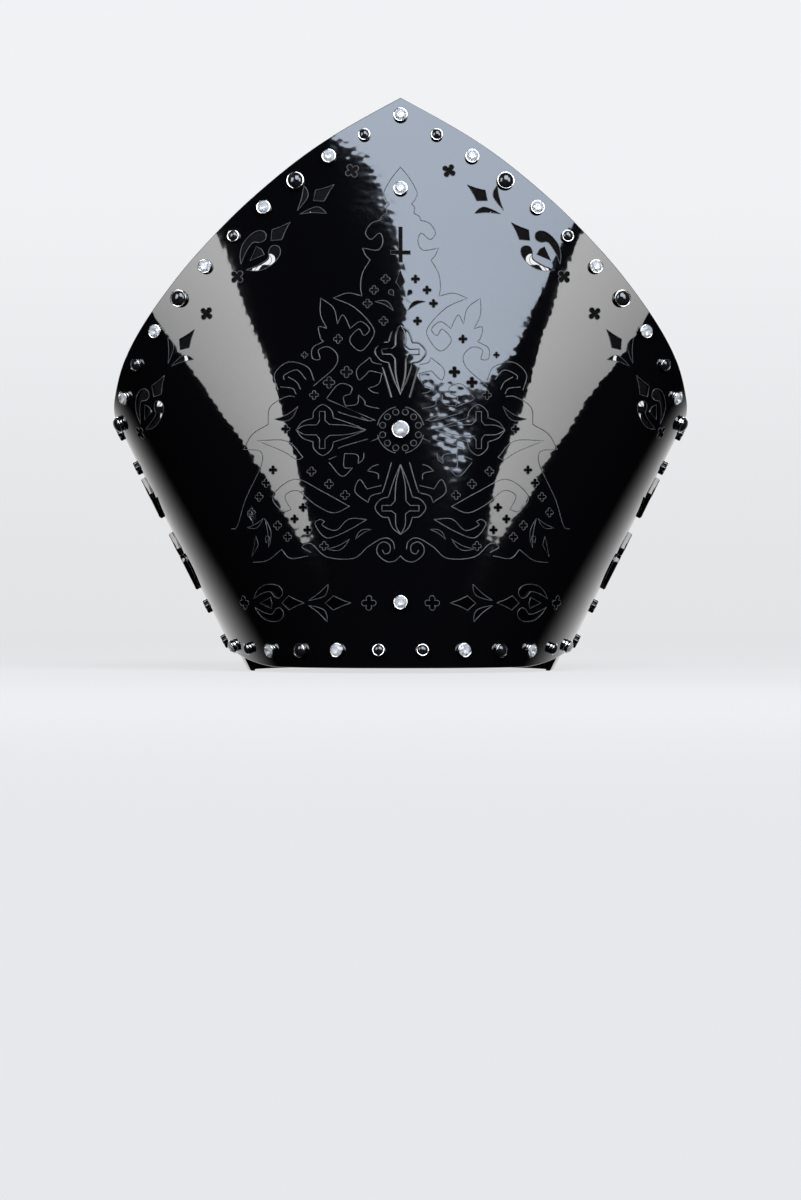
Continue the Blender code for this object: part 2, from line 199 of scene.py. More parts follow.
def noise(material, scale, detail=2.0, stretch=(1.0, 1.0, 1.0)):
    """Noise fixed to the object, whose features repeat about scale times in a metre."""
    tree = material.node_tree
    place = add_node(tree, "ShaderNodeTexCoord")
    mapping = add_node(tree, "ShaderNodeMapping")
    mapping.inputs["Scale"].default_value = stretch
    texture = add_node(tree, "ShaderNodeTexNoise")
    texture.inputs["Scale"].default_value = scale
    texture.inputs["Detail"].default_value = detail
    tree.links.new(place.outputs["Object"], mapping.inputs["Vector"])
    tree.links.new(mapping.outputs["Vector"], texture.inputs["Vector"])
    return texture.outputs["Fac"]


def vary(material, socket, texture, low, high):
    """Let a texture drive one of the shader's sockets between two values."""
    tree = material.node_tree
    spread = add_node(tree, "ShaderNodeMapRange")
    spread.inputs["From Min"].default_value = 0.3
    spread.inputs["From Max"].default_value = 0.7
    spread.inputs["To Min"].default_value = low
    spread.inputs["To Max"].default_value = high
    tree.links.new(texture, spread.inputs["Value"])
    tree.links.new(spread.outputs["Result"], tree.nodes["Principled BSDF"].inputs[socket])


def vary_colour(material, texture, dark, light):
    """Let a texture run the colour between two others."""
    tree = material.node_tree
    ramp = add_node(tree, "ShaderNodeValToRGB")
    ramp.color_ramp.elements[0].position, ramp.color_ramp.elements[1].position = 0.3, 0.7
    ramp.color_ramp.elements[0].color, ramp.color_ramp.elements[1].color = (*dark, 1.0), (*light, 1.0)
    tree.links.new(texture, ramp.inputs["Fac"])
    tree.links.new(ramp.outputs["Color"], tree.nodes["Principled BSDF"].inputs["Base Color"])


def raise_grain(material, layers):
    """Stack bumps of (texture, depth in metres) on the surface, and under its clear coat too."""
    tree = material.node_tree
    shader = tree.nodes["Principled BSDF"]
    normal = None
    for texture, depth in layers:
        bump = add_node(tree, "ShaderNodeBump")
        bump.inputs["Distance"].default_value = depth
        tree.links.new(texture, bump.inputs["Height"])
        if normal:
            tree.links.new(normal, bump.inputs["Normal"])
        normal = bump.outputs["Normal"]
    tree.links.new(normal, shader.inputs["Normal"])
    tree.links.new(normal, shader.inputs["Coat Normal"])


# %% Patent leather and its matt back
WAVE_DEPTH = 0.00055        # of the broad waves in the hide
PEEL_DEPTH = 0.000012       # of the lacquer's orange peel

patent = new_material(
    "patent_leather", (0.0015, 0.0015, 0.002), 0.03, IOR=1.5, Coat_Weight=0.6, Coat_Roughness=0.01)
vary(patent, "Roughness", noise(patent, 9.0), 0.025, 0.05)
raise_grain(patent, ((noise(patent, 14.0, 1.0), WAVE_DEPTH), (noise(patent, 300.0, 0.0), PEEL_DEPTH)))

suede = new_material("matt_leather_back", (0.012, 0.011, 0.011), 0.75, Specular_IOR_Level=0.0)
vary_colour(suede, noise(suede, 900.0, 4.0), (0.006, 0.0055, 0.0055), (0.012, 0.011, 0.011))
raise_grain(suede, ((noise(suede, 1400.0, 3.0), 0.00025),))

# Painted highlight: the drawn lines and the hole edges get a mottled mid-grey base, which stands in for the
# light that their fine edges catch.
painted_edge_highlight = new_material("rubbed_leather_edge", (0.075, 0.076, 0.080), 0.30, IOR=1.5)
vary_colour(painted_edge_highlight, noise(painted_edge_highlight, 700.0, 3.0), (0.028, 0.029, 0.031), (0.105, 0.107, 0.112))
print("leather:", patent.name, suede.name, painted_edge_highlight.name)

# %% Metal and stones
silver = new_material("polished_silver", (0.80, 0.79, 0.77), 0.14, Metallic=1.0)
vary(silver, "Roughness", noise(silver, 600.0), 0.09, 0.22)
raise_grain(silver, ((noise(silver, 1800.0), 0.00002),))

crystal = new_material("clear_crystal", (0.95, 0.955, 0.97), 0.0, IOR=1.62, Transmission_Weight=0.70)
vary(crystal, "Roughness", noise(crystal, 500.0), 0.0, 0.02)

onyx = new_material("black_onyx", (0.006, 0.006, 0.007), 0.03, IOR=1.55, Coat_Weight=0.5, Coat_Roughness=0.01)
vary_colour(onyx, noise(onyx, 300.0, 3.0), (0.004, 0.004, 0.005), (0.012, 0.012, 0.014))
print("studs:", silver.name, crystal.name, onyx.name)

# %% [markdown]
# ## The two leather panels
#
# Each panel is one piece of leather about 2 mm thick. The front one runs a little past the side
# lines and laps over the back one, which is tucked inside it. A Solidify modifier could thicken
# a sheet, but a real cut at the rim lies flat on the table while the cut at the top is square
# to the leather. So each column of the mesh is one closed section: up the outside, over
# the rounded cut edge, down the inside and back under the rim.
# %% Make a panel
LEATHER = 0.0022
LAP_GAP = 0.0003
TUCK = LEATHER + LAP_GAP    # how far the back panel is set back inside the front one
EDGE_ROUND = 0.0004         # radius on the cut edges
FRONT_RIM_HEIGHT = 0.0025
CORNER_RISE = 0.0080
CORNER_START = 45.0
FRONT_END = 100.0           # turn of the front panel's side edges, in degrees
BACK_START = 75.0
COLUMNS_PER_DEGREE = 1.0
PANEL_ROWS = 36
SHARP_ANGLE = 50.0          # of a panel's edges, in degrees


def front_rim(turn):
    """Height of the front panel's lower edge, which climbs to its corners."""
    share = min(max((abs(math.degrees(turn)) - CORNER_START) / (90.0 - CORNER_START), 0.0), 1.0)
    return FRONT_RIM_HEIGHT + CORNER_RISE * math.sin(share * math.pi / 2) ** 2


def back_rim(_turn):
    """The back panel stands on its lower edge."""
    return 0.0


def panel_face(turn, low, high, inset, tilt):
    """Points up one face of a panel, between its rounded edges."""
    foot = low + EDGE_ROUND + tilt * inset
    rises = [(high - EDGE_ROUND - foot) * row / PANEL_ROWS for row in range(PANEL_ROWS + 1)]
    return [wall_point(turn, foot + rise, inset) for rise in rises]


def panel_section(turn, low, high, inset):
    """One closed section of a panel, as many points inside as outside."""
    tilt = wall_axes(turn, low)[2].z
    bends = (0.0, math.pi / 4, math.pi / 2)
    corner = [(EDGE_ROUND * (1 - math.cos(a)), EDGE_ROUND * math.sin(a)) for a in bends]
    brow = high - EDGE_ROUND
    points = panel_face(turn, low, high, inset, tilt)
    points += [wall_point(turn, brow + rise, inset + back) for back, rise in corner[1:]]
    points += [wall_point(turn, brow + rise, inset + LEATHER - back) for back, rise in corner[:0:-1]]
    points += panel_face(turn, low, high, inset + LEATHER, tilt)[::-1]
    for depth, drop in [(LEATHER - b, r) for b, r in corner[1:]] + [(b, r) for b, r in corner[:0:-1]]:
        points.append(wall_point(turn, low + EDGE_ROUND - drop + tilt * (inset + depth), inset + depth))
    return points


def make_panel(name, first_turn, last_turn, rim_at, inset):
    """A panel between two turns, glossy outside and matt inside and at its cut edges."""
    columns = round((last_turn - first_turn) * COLUMNS_PER_DEGREE)
    shape = bmesh.new()
    rings = []
    for column in range(columns + 1):
        turn = math.radians(first_turn + (last_turn - first_turn) * column / columns)
        section = panel_section(turn, rim_at(turn), edge_height(turn), inset)
        rings.append([shape.verts.new(point) for point in section])
    size = len(rings[0])
    for ring, following in zip(rings, rings[1:]):
        for i in range(size):
            face = shape.faces.new((ring[i], following[i], following[(i + 1) % size], ring[(i + 1) % size]))
            face.material_index = 0 if i <= PANEL_ROWS + 1 or i >= size - 2 else 1
    for ring in (rings[0][::-1], rings[-1]):
        shape.faces.new(ring).material_index = 1
    bmesh.ops.recalc_face_normals(shape, faces=shape.faces)
    return finished_mesh(name, shape, (patent, suede), SHARP_ANGLE)


def finished_mesh(name, shape, materials, sharp_angle):
    """A finished piece from a bmesh: smooth, with its edges sharp from an angle in degrees."""
    mesh = bpy.data.meshes.new(name)
    shape.to_mesh(mesh)
    shape.free()
    for material in materials:
        mesh.materials.append(material)
    mesh.shade_smooth()
    mesh.set_sharp_from_angle(angle=math.radians(sharp_angle))
    return add_piece(name, mesh)


def add_piece(name, mesh):
    """An object for a finished mesh, at the origin."""
    piece = bpy.data.objects.new(name, mesh)
    bpy.context.scene.collection.objects.link(piece)
    return piece


def place_on_hat(piece, slot, *nodes):
    """The piece rides on the hat and stands for those solids, which it hides; the slot is not used."""
    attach(piece, "root")
    if nodes:
        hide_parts(*nodes)
    print(piece.name, len(piece.data.polygons), "faces")


front_leather = make_panel("front_leather", -FRONT_END, FRONT_END, front_rim, 0.0)
back_leather = make_panel("back_leather", BACK_START, 360.0 - BACK_START, back_rim, TUCK)
print("whole panels:", len(front_leather.data.polygons), "and", len(back_leather.data.polygons), "faces")

# %% [markdown]
# ## Setting out rows of pieces
#
# Studs and ornaments follow rows: one inside the top edge, one above the rim, one up each side.
# A maker would draw such a row with a compass run along the edge. The same is done here: a
# path keeps a margin from the edge and remembers how long it is, so that pieces can be
# spaced by length along it, as they are on the real hat.
# %% Paths along the edges
PATH_STEPS = 180


def edge_path(peak_margin, flank_margin):
    """Points inside the top edge from the peak to the side line, as (length, turn, height, heading)."""
    path = []
    length, previous = 0.0, None
    for step in range(PATH_STEPS + 1):
        turn = step / PATH_STEPS * math.pi / 2
        height = edge_height(turn)
        margin = peak_margin + (flank_margin - peak_margin) * math.sin(min(2 * turn, math.pi / 2))
        slope = (edge_height(turn + 0.001) - height) / 0.001 if step < PATH_STEPS else 0.0
        level, upward, _, stretch, rising = wall_axes(turn, height)
        run, climb = stretch + slope * rising.dot(level), slope * rising.dot(upward)
        size = math.hypot(run, climb)
        inner = slide(turn, height, margin * climb / size, -margin * run / size)
        if inner[0] < 0.0:
            continue
        place = wall_point(*inner)
        length += (place - previous).length if previous else 0.0
        previous = place
        path.append((length, *inner, math.atan2(-climb, -run)))
    return path


def level_path(height_at, last_turn):
    """Points along a level row from the front to a turn, as (length, turn, height, heading)."""
    path = []
    length, previous = 0.0, None
    for step in range(PATH_STEPS + 1):
        turn = step / PATH_STEPS * last_turn
        place = wall_point(turn, height_at(turn))
        length += (place - previous).length if previous else 0.0
        previous = place
        path.append((length, turn, height_at(turn), math.pi))
    return path


def path_at(path, length):
    """Turn, height and heading at a length along a path."""
    for before, after in zip(path, path[1:]):
        if after[0] >= length:
            share = (length - before[0]) / (after[0] - before[0])
            return tuple(before[i] + (after[i] - before[i]) * share for i in (1, 2, 3))
    return path[-1][1:]


# %% [markdown]
# ## One node tree that sets pieces on the wall
#
# Hundreds of small pieces sit on this hat, each turned its own way. Copying objects by hand would
# be slow to change, so a Geometry Nodes tree does it: it reads a cloud of points, each with a
# number that picks the piece, a rotation and a size, and puts the picked piece there. Realize
# Instances then makes them real faces, because an export would lose instances.
# %% Helpers for node trees
def new_tree(name, sockets):
    """An empty geometry node tree with named inputs, its input node and its output node."""
    tree = bpy.data.node_groups.new(name, "GeometryNodeTree")
    tree.interface.new_socket("Geometry", in_out="INPUT", socket_type="NodeSocketGeometry")
    for label, kind in sockets:
        tree.interface.new_socket(label, in_out="INPUT", socket_type=kind)
    tree.interface.new_socket("Geometry", in_out="OUTPUT", socket_type="NodeSocketGeometry")
    return tree, tree.nodes.new("NodeGroupInput"), tree.nodes.new("NodeGroupOutput")


def link_nodes(tree, pairs):
    """Link a tree's sockets, given as pairs of an output and an input."""
    for source, target in pairs:
        tree.links.new(source, target)


def run_tree(name, source, tree, values):
    """Run a tree on a mesh or curve with its inputs set by label, and keep the plain result."""
    item = add_piece(name + "_source", source)
    modifier = item.modifiers.new("nodes", "NODES")
    modifier.node_group = tree
    for socket in tree.interface.items_tree:
        if socket.in_out == "INPUT" and socket.name in values:
            modifier[socket.identifier] = values[socket.name]
    bpy.context.view_layer.update()
    graph = bpy.context.evaluated_depsgraph_get()
    result = item.evaluated_get(graph)
    mesh = bpy.data.meshes.new_from_object(result, preserve_all_data_layers=True, depsgraph=graph)
    mesh.name = name
    item.modifiers.remove(modifier)
    bpy.data.objects.remove(item, do_unlink=True)
    return add_piece(name, mesh)


# %% The tree that sets pieces on points
set_pieces, start, end = new_tree("set_pieces_on_points", (
    ("Pieces", "NodeSocketCollection"), ("Material", "NodeSocketMaterial"),
))
choice = add_node(set_pieces, "GeometryNodeCollectionInfo")
choice.inputs["Separate Children"].default_value = True
choice.inputs["Reset Children"].default_value = True
number = add_node(set_pieces, "GeometryNodeInputNamedAttribute", data_type="INT")
number.inputs["Name"].default_value = "which"
facing = add_node(set_pieces, "GeometryNodeInputNamedAttribute", data_type="QUATERNION")
facing.inputs["Name"].default_value = "facing"
size = add_node(set_pieces, "GeometryNodeInputNamedAttribute", data_type="FLOAT_VECTOR")
size.inputs["Name"].default_value = "size"
instances = add_node(set_pieces, "GeometryNodeInstanceOnPoints")
instances.inputs["Pick Instance"].default_value = True
realize = add_node(set_pieces, "GeometryNodeRealizeInstances")
paint = add_node(set_pieces, "GeometryNodeSetMaterial")
link_nodes(set_pieces, (
    (start.outputs["Pieces"], choice.inputs["Collection"]),
    (start.outputs["Geometry"], instances.inputs["Points"]),
    (choice.outputs["Instances"], instances.inputs["Instance"]),
    (number.outputs["Attribute"], instances.inputs["Instance Index"]),
    (facing.outputs["Attribute"], instances.inputs["Rotation"]),
    (size.outputs["Attribute"], instances.inputs["Scale"]),
    (instances.outputs["Instances"], realize.inputs["Geometry"]),
    (realize.outputs["Geometry"], paint.inputs["Geometry"]),
    (start.outputs["Material"], paint.inputs["Material"]),
    (paint.outputs["Geometry"], end.inputs["Geometry"]),
))


def points_mesh(name, spots):
    """A cloud of points for the tree, from (number, place as a matrix, size) rows."""
    mesh = bpy.data.meshes.new(name)
    mesh.from_pydata([place.translation for _, place, _ in spots], [], [])
    mesh.attributes.new("which", "INT", "POINT").data.foreach_set("value", [which for which, _, _ in spots])
    turns = [value for _, place, _ in spots for value in place.to_quaternion()]
    mesh.attributes.new("facing", "QUATERNION", "POINT").data.foreach_set("value", turns)
    sizes = [value for _, _, factor in spots for value in (factor, factor, 1.0)]
    mesh.attributes.new("size", "FLOAT_VECTOR", "POINT").data.foreach_set("vector", sizes)
    return mesh


def set_on_wall(name, kit, spots, material, sharp_angle=30.0):
    """Put pieces of a kit on the wall; spots are (piece's name, place as a matrix, size)."""
    names = sorted(item.name for item in kit.objects)
    rows = [(names.index(f"{kit.name}_{piece}"), place, factor) for piece, place, factor in spots]
    cloud = points_mesh(name + "_points", rows)
    result = run_tree(name, cloud, set_pieces, {"Pieces": kit, "Material": material})
    result.data.shade_smooth()
    result.data.set_sharp_from_angle(angle=math.radians(sharp_angle))
    return result


def new_kit(name):
    """A collection that holds the patterns of small pieces; nothing in it is shown."""
    return bpy.data.collections.new(name)


print("tree", set_pieces.name, "with", len(set_pieces.nodes), "nodes")

# %% [markdown]
# ## Ornaments
#
# Most ornaments are holes, cut right through the leather with shaped punches: a four-petalled
# quatrefoil, and a kite that stands between two crescents, or two curls and a dart. Each outline
# is drawn once, smooth between its corners, and a filled 2D curve with an extrude makes the
# punch. Drawing round the holes in the panel's own mesh would be clean but slow to change, so
# a Boolean does here what the maker's mallet does, and leaves true cut walls.
# %% Smooth outlines
MM = 0.001


def smooth_stroke(points, steps=5):
    """A smooth open curve through the points, without its last point."""
    places = [Vector(point) for point in points]
    guided = [2 * places[0] - places[1], *places, 2 * places[-1] - places[-2]]
    curve = []
    for p0, p1, p2, p3 in zip(guided, guided[1:], guided[2:], guided[3:]):
        for step in range(steps):
            t = step / steps
            curve.append(0.5 * (2 * p1 + (p2 - p0) * t + (2 * p0 - 5 * p1 + 4 * p2 - p3) * t**2
                                + (3 * p1 - p0 - 3 * p2 + p3) * t**3))
    return curve


def outline_of(strokes):
    """A closed outline from strokes that meet at corners; a stroke starts where the last one ends."""
    closed = []
    for index, stroke in enumerate(strokes):
        following = strokes[(index + 1) % len(strokes)]
        full = [*stroke, following[0]]
        closed += smooth_stroke(full) if len(full) > 2 else [Vector(full[0])]
    return closed


def lobed_outline(reach, lobe, notch):
    """A quatrefoil: four round lobes, along and across the row."""
    points = []
    for quarter in range(4):
        turned = Matrix.Rotation(quarter * math.pi / 2, 2)
        for angle in range(-110, 111, 22):
            bend = math.radians(angle)
            points.append(turned @ Vector((reach - lobe + lobe * math.cos(bend), lobe * math.sin(bend))))
        points.append(turned @ Vector((notch, notch)))
    return points


# Outlines in millimetres, along the ornament towards its tip and across it
QUATREFOIL = lobed_outline(3.65, 1.4, 1.15)
KITE = [[(6.7, 0), (2.2, 1.5)], [(-2.45, 3.6)], [(-6.7, 0)], [(-2.45, -3.6), (2.2, -1.5)]]
CRESCENT = [[(-0.7, 9.35), (-0.9, 6.3), (-2.4, 3.6), (-6.2, 2.1)], [(-11.4, 1.1), (-5.7, 4.75)]]
CURL = [[(-16.2, 2.0), (-12.0, 3.9), (-8.0, 5.2), (-4.0, 5.6), (-1.6, 3.2), (1.2, 2.4), (3.4, 4.2),
         (3.2, 6.8), (0.6, 8.8), (-3.6, 9.4), (-8.8, 8.6), (-13.2, 5.8)]]
DART = [[(-3.4, 0)], [(-4.2, 2.9)], [(-11.7, 0)], [(-4.2, -2.9)]]


def mirrored(strokes):
    """The same strokes on the other side of the middle line."""
    return [[(along, -across) for along, across in stroke] for stroke in strokes]


# %% Punches from outlines
PUNCH_OUT = 0.0015          # how far a punch stands out of the leather
PUNCH_IN = 0.0042           # and how far it goes in
hole_outlines = {}          # of each punch, in metres round its middle


def add_punch(kit, name, outline, out=PUNCH_OUT, inward=PUNCH_IN, soft=0.0):
    """A punch or tile of the outline's shape, in millimetres, moved to its own middle. Returns the middle."""
    middle = sum(outline, Vector((0.0, 0.0))) / len(outline)
    hole_outlines[f"{kit.name}_{name}"] = [(place - middle) * MM for place in outline]
    curve = bpy.data.curves.new(name, "CURVE")
    curve.dimensions, curve.fill_mode = "2D", "BOTH"
    curve.extrude = (out + inward) / 2 - soft
    curve.bevel_depth, curve.bevel_resolution, curve.offset = soft, 1, -soft
    spline = curve.splines.new("POLY")
    spline.points.add(len(outline) - 1)
    for point, place in zip(spline.points, hole_outlines[f"{kit.name}_{name}"]):
        point.co = (*place, 0.0, 1.0)
    spline.use_cyclic_u = True
    item = add_piece(name + "_curve", curve)
    bpy.context.view_layer.update()
    mesh = bpy.data.meshes.new_from_object(item.evaluated_get(bpy.context.evaluated_depsgraph_get()))
    bpy.data.objects.remove(item, do_unlink=True)
    shape = bmesh.new()
    shape.from_mesh(mesh)
    bmesh.ops.remove_doubles(shape, verts=shape.verts, dist=1e-6)
    bmesh.ops.translate(shape, verts=shape.verts, vec=(0.0, 0.0, (out - inward) / 2))
    bmesh.ops.recalc_face_normals(shape, faces=shape.faces)
    shape.to_mesh(mesh)
    shape.free()
    kit.objects.link(bpy.data.objects.new(f"{kit.name}_{name}", mesh))
    return middle * MM


FLEUR_TIP = Vector((4.8, 0)) * MM       # from the ornament's middle out to its kite
PALMETTE_TIP = Vector((9.6, 0)) * MM

ornament_shapes = {"kite": outline_of(KITE), "quatrefoil": QUATREFOIL, "dart": outline_of(DART)}
for hand, flip in (("left", list), ("right", mirrored)):
    ornament_shapes["crescent_" + hand] = outline_of(flip(CRESCENT))
    ornament_shapes["curl_" + hand] = outline_of(flip(CURL))
ornament_kit = new_kit("ornament_punches")
middles = {name: add_punch(ornament_kit, name, outline) for name, outline in ornament_shapes.items()}
ornaments = {
    kind: [(name, middles[name]) for name in names]
    for kind, names in (
        ("quatrefoil", ("quatrefoil",)),
        ("fleur", ("crescent_left", "crescent_right")),
        ("palmette", ("curl_left", "curl_right", "dart")),
    )
}
ornaments["fleur"].insert(0, ("kite", middles["kite"] + FLEUR_TIP))
ornaments["palmette"].insert(0, ("kite", middles["kite"] + PALMETTE_TIP))
print({kind: len(parts) for kind, parts in ornaments.items()}, "punches for each ornament")

# %% Where the ornaments sit
UPPER_BORDER = (
    ("quatrefoil", 0.117), ("fleur", 0.211), ("palmette", 0.351), ("quatrefoil", 0.441),
    ("quatrefoil", 0.540), ("fleur", 0.628), ("palmette", 0.767), ("quatrefoil", 0.855),
)
LOWER_BAND = (("quatrefoil", 0.102), ("fleur", 0.235), ("palmette", 0.428), ("quatrefoil", 0.583))
SIDE_COLUMN = (
    ("quatrefoil", 0.949), ("quatrefoil", 0.812), ("fleur", 0.692), ("palmette", 0.440),
    ("quatrefoil", 0.259), ("quatrefoil", 0.119),
)
PEAK_MARGIN = 0.0190
FLANK_MARGIN = 0.0245
BAND_HEIGHT = 0.0347


def ornament_spots(kind, turn, height, heading, inset=0.0):
    """The punches of one ornament, each square to the wall where it goes in."""
    spots = []
    for name, (along, across) in ornaments[kind]:
        ahead = along * math.cos(heading) - across * math.sin(heading)
        above = along * math.sin(heading) + across * math.cos(heading)
        spots.append((name, wall_frame(*slide(turn, height, ahead, above), heading, -inset), 1.0))
    return spots


def border_spots(path, table, turned=False):
    """A row of ornaments on both sides of the front, or turned half round for the back."""
    spots = []
    inset = TUCK if turned else 0.0
    for kind, share in table:
        turn, height, heading = path_at(path, path[-1][0] * share)
        if turned:
            turn, heading = math.pi - turn, math.pi - heading
        spots += ornament_spots(kind, turn, height, heading, inset)
        spots += ornament_spots(kind, -turn, height, math.pi - heading, inset)
    return spots


upper_row = edge_path(PEAK_MARGIN, FLANK_MARGIN)
lower_row = level_path(lambda _turn: BAND_HEIGHT, math.pi / 2)
side_spots = []
for kind, share in SIDE_COLUMN:
    for side in (-1, 1):
        side_spots += ornament_spots(kind, side * math.pi / 2, SADDLE_HEIGHT * share, math.pi / 2)
front_spots = border_spots(upper_row, UPPER_BORDER) + border_spots(lower_row, LOWER_BAND) + side_spots
back_spots = border_spots(upper_row, UPPER_BORDER, True)
print(len(front_spots), "holes in front,", len(back_spots), "behind")

# %% [markdown]
# ## Cutting with the punches
#
# The punches are set on the wall by the node tree and cut out one shape at a time, because a
# Boolean is surest when nothing in the tool touches or crosses. The cut walls take the matt
# leather's finish. Afterwards the broad faces get the normals of the wall's own rule: without
# that, the odd faces round each hole would dent the mirror reflections.
# %% Cut holes in a panel
def cut_holes(panel, kit, spots):
    for shape in sorted({name for name, _, _ in spots}):
        same = [spot for spot in spots if spot[0] == shape]
        punches = set_on_wall("punches", kit, same, suede)
        modifier = panel.modifiers.new("holes", "BOOLEAN")
        modifier.operation, modifier.solver, modifier.material_mode = "DIFFERENCE", "EXACT", "TRANSFER"
        modifier.object = punches
        bpy.context.view_layer.update()
        graph = bpy.context.evaluated_depsgraph_get()
        whole = panel.data
        panel.data = bpy.data.meshes.new_from_object(panel.evaluated_get(graph), depsgraph=graph)
        panel.modifiers.clear()
        bpy.data.objects.remove(punches, do_unlink=True)
        bpy.data.meshes.remove(whole)
    print(panel.name, "has", len(panel.data.polygons), "faces after", len(spots), "holes")


cut_holes(front_leather, ornament_kit, front_spots)
cut_holes(back_leather, ornament_kit, back_spots)

# %% [markdown]
# ## Tiles at the sides
#
# In the photograph the ornaments of the side columns stand out from the hat's outline as small
# black bumps, roughly 1 to 3.5 mm high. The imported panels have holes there, so each of these
# holes is filled with a tile of thick leather with a soft edge, 2.4 mm proud. Whether the real
# ones are set in or raised can't be told. It is the same outline and the same tree again, with a
# bevel on the curve.
# %% Set the side tiles
INLAY_PROUD = 0.0024
INLAY_ROOT = 0.0015
SOFT_EDGE = 0.0005

inlay_kit = new_kit("inlays")
for shape, outline in ornament_shapes.items():
    add_punch(inlay_kit, shape, outline, INLAY_PROUD, INLAY_ROOT, SOFT_EDGE)
side_inlays = set_on_wall("side_inlays", inlay_kit, side_spots, patent)
place_on_hat(side_inlays, "leather")


# %% The wall's own normals
BROAD_FACE = 0.97           # how squarely a face looks out or in, to count as one of the broad faces


def nearest_turn(point):
    """The turn of the wall at the height of a point close to it."""
    deep = fore_reach(0.0 if point.y < 0.0 else math.pi, point.z)
    return math.atan2(point.x / side_reach(point.z), -point.y / deep)


def smooth_like_wall(panel):
    """Give a panel's broad faces the wall's normals, outside and inside."""
    mesh = panel.data
    mesh.shade_smooth()
    mesh.set_sharp_from_angle(angle=math.radians(SHARP_ANGLE))
    normals = [corner.vector.copy() for corner in mesh.corner_normals]
    for face in mesh.polygons:
        for index in face.loop_indices:
            place = mesh.vertices[mesh.loops[index].vertex_index].co
            outward = wall_axes(nearest_turn(place), place.z)[2]
            facing = face.normal.dot(outward)
            if abs(facing) > BROAD_FACE:
                normals[index] = outward if facing > 0 else -outward
    mesh.normals_split_custom_set(normals)


# %% [markdown]
# ## The drawing on the front
#
# The middle of the front carries a drawing in fine raised lines and small holes: four crosses
# round the middle crystal, leaves and scrolls round them, and a small cross above. It could be
# wrapped round the wall like paper, but it was judged from the front, so it is thrown on
# the wall like a slide: each point lies on a ray from the viewer's eye. One unit of the drawing
# is about half a millimetre, its middle is the middle crystal, and only the right half is drawn,
# then mirrored.
# %% Throw the drawing on the wall
EYE = Vector((0.0, -2.0, 0.0362))
SLIDE_UNIT = 1 / 3854       # of the drawing, for each metre from the eye
CRYSTAL_UP = 170            # units from the eye's level up to the middle crystal


def on_front(across, up):
    """Turn and height where the ray through a point of the drawing meets the front wall."""
    depth = -FRONT_REACH
    for _ in range(8):
        unit = SLIDE_UNIT * (depth - EYE.y)
        height = EYE.z + (CRYSTAL_UP + up) * unit
        turn = math.asin(across * unit / side_reach(height))
        depth = -fore_reach(turn, height) * math.cos(turn)
    return turn, height


def line_through(strokes):
    """An open line from strokes that meet at corners."""
    line = []
    for stroke in strokes:
        line += smooth_stroke(stroke, 4) if len(stroke) > 2 else [Vector(stroke[0])]
    return line + [Vector(strokes[-1][-1])]


# %% Leaves and scrolls, the right half
TOP_LEAVES = (
    [[(0, 263), (9, 252), (16.5, 238), (14.5, 230.5), (11, 226)], [(11, 226), (14, 223), (13.5, 217)],
     [(13.5, 217), (19, 213.5), (20, 210)],
     [(20, 210), (29.5, 206.5), (35, 197), (29.5, 190.5), (21, 197), (17.5, 189), (22.5, 180), (38, 182)],
     [(38, 182), (35, 175), (30.5, 170)], [(30.5, 170), (38, 157), (40, 143), (38.5, 134)],
     [(38.5, 134), (53, 137), (67, 132)],
     [(67, 132), (46, 122.5), (29, 105), (27, 94), (39.5, 79), (51, 89.5), (42, 101), (36.5, 94.5), (31, 101),
      (40, 108.5), (50.5, 101.5)],
     [(50.5, 101.5), (54.5, 111), (58.5, 115), (63, 106)],
     [(63, 106), (67, 122), (80, 132)], [(80, 132), (80, 115), (73.5, 101.5)],
     [(73.5, 101.5), (82, 103), (80, 92), (77, 88.5)],
     [(77, 88.5), (88, 82), (88, 71.5), (80.5, 71), (82, 80), (72, 83), (63, 74.5), (66.5, 62), (87, 44)]],
)
SIDE_SCROLLS = (
    [[(86.5, 49.5), (93, 63), (112, 68), (126, 56), (122.5, 40)]],
    [[(94.5, 50.5), (103.5, 60), (116, 55), (116.5, 50.5)]],
    [[(100, 40.5), (104, 48), (112.5, 53)]],
    [[(104.5, 36), (108, 41.5), (120, 43)]],
    [[(105.5, 33.5), (115, 33), (130.5, 23), (132.5, 5.5)], [(132.5, 5.5), (148, -4), (157, -19.5)],
     [(157, -19.5), (140, -21.5), (139.5, -36), (155, -69.5), (163, -96), (169, -99)]],
    [[(97.5, -27.5), (113.5, -11), (143.5, -10.5)],
     [(143.5, -10.5), (117, -21.5), (104, -29.5), (97.5, -27.5)]],
)
MIDDLE_CURLS = (
    [[(19, 65.5), (27.5, 67.5), (30.5, 72.5)],
     [(30.5, 72.5), (43.5, 61), (41.5, 50), (34, 56), (30.5, 59), (18.5, 56.5)],
     [(18.5, 56.5), (22, 46), (32.5, 41.5)], [(32.5, 41.5), (28, 38), (22, 36.5)]],
    [[(74, 31.5), (61.5, 46), (49, 43), (50, 36)], [(50, 36), (57, 33), (55, 24)],
     [(55, 24), (43.5, 26), (42, 35)], [(42, 35), (36, 29), (35.5, 25)],
     [(35.5, 25), (30, 23), (21.5, 21.5)]],
    [[(25, 9.5), (73, 30.5)]],
    [[(21.5, -8), (71.5, -29.5)]],
    [[(26.5, 11), (30.5, 9), (39.5, 13)]],
    [[(71.5, -32.5), (58.5, -46.5), (48, -38)], [(48, -38), (56.5, -37), (56, -23.5)],
     [(56, -23.5), (43, -25), (42.5, -33.5)], [(42.5, -33.5), (37.5, -29.5), (36.5, -23)]],
    [[(22, -34.5), (28, -36.5), (33, -41)], [(33, -41), (23, -43.5), (22, -49)]],
    [[(19, -55.5), (33.5, -59)], [(33.5, -59), (41, -49.5), (45.5, -62), (32.5, -72.5)],
     [(32.5, -72.5), (29.5, -66), (19.5, -63)]],
)
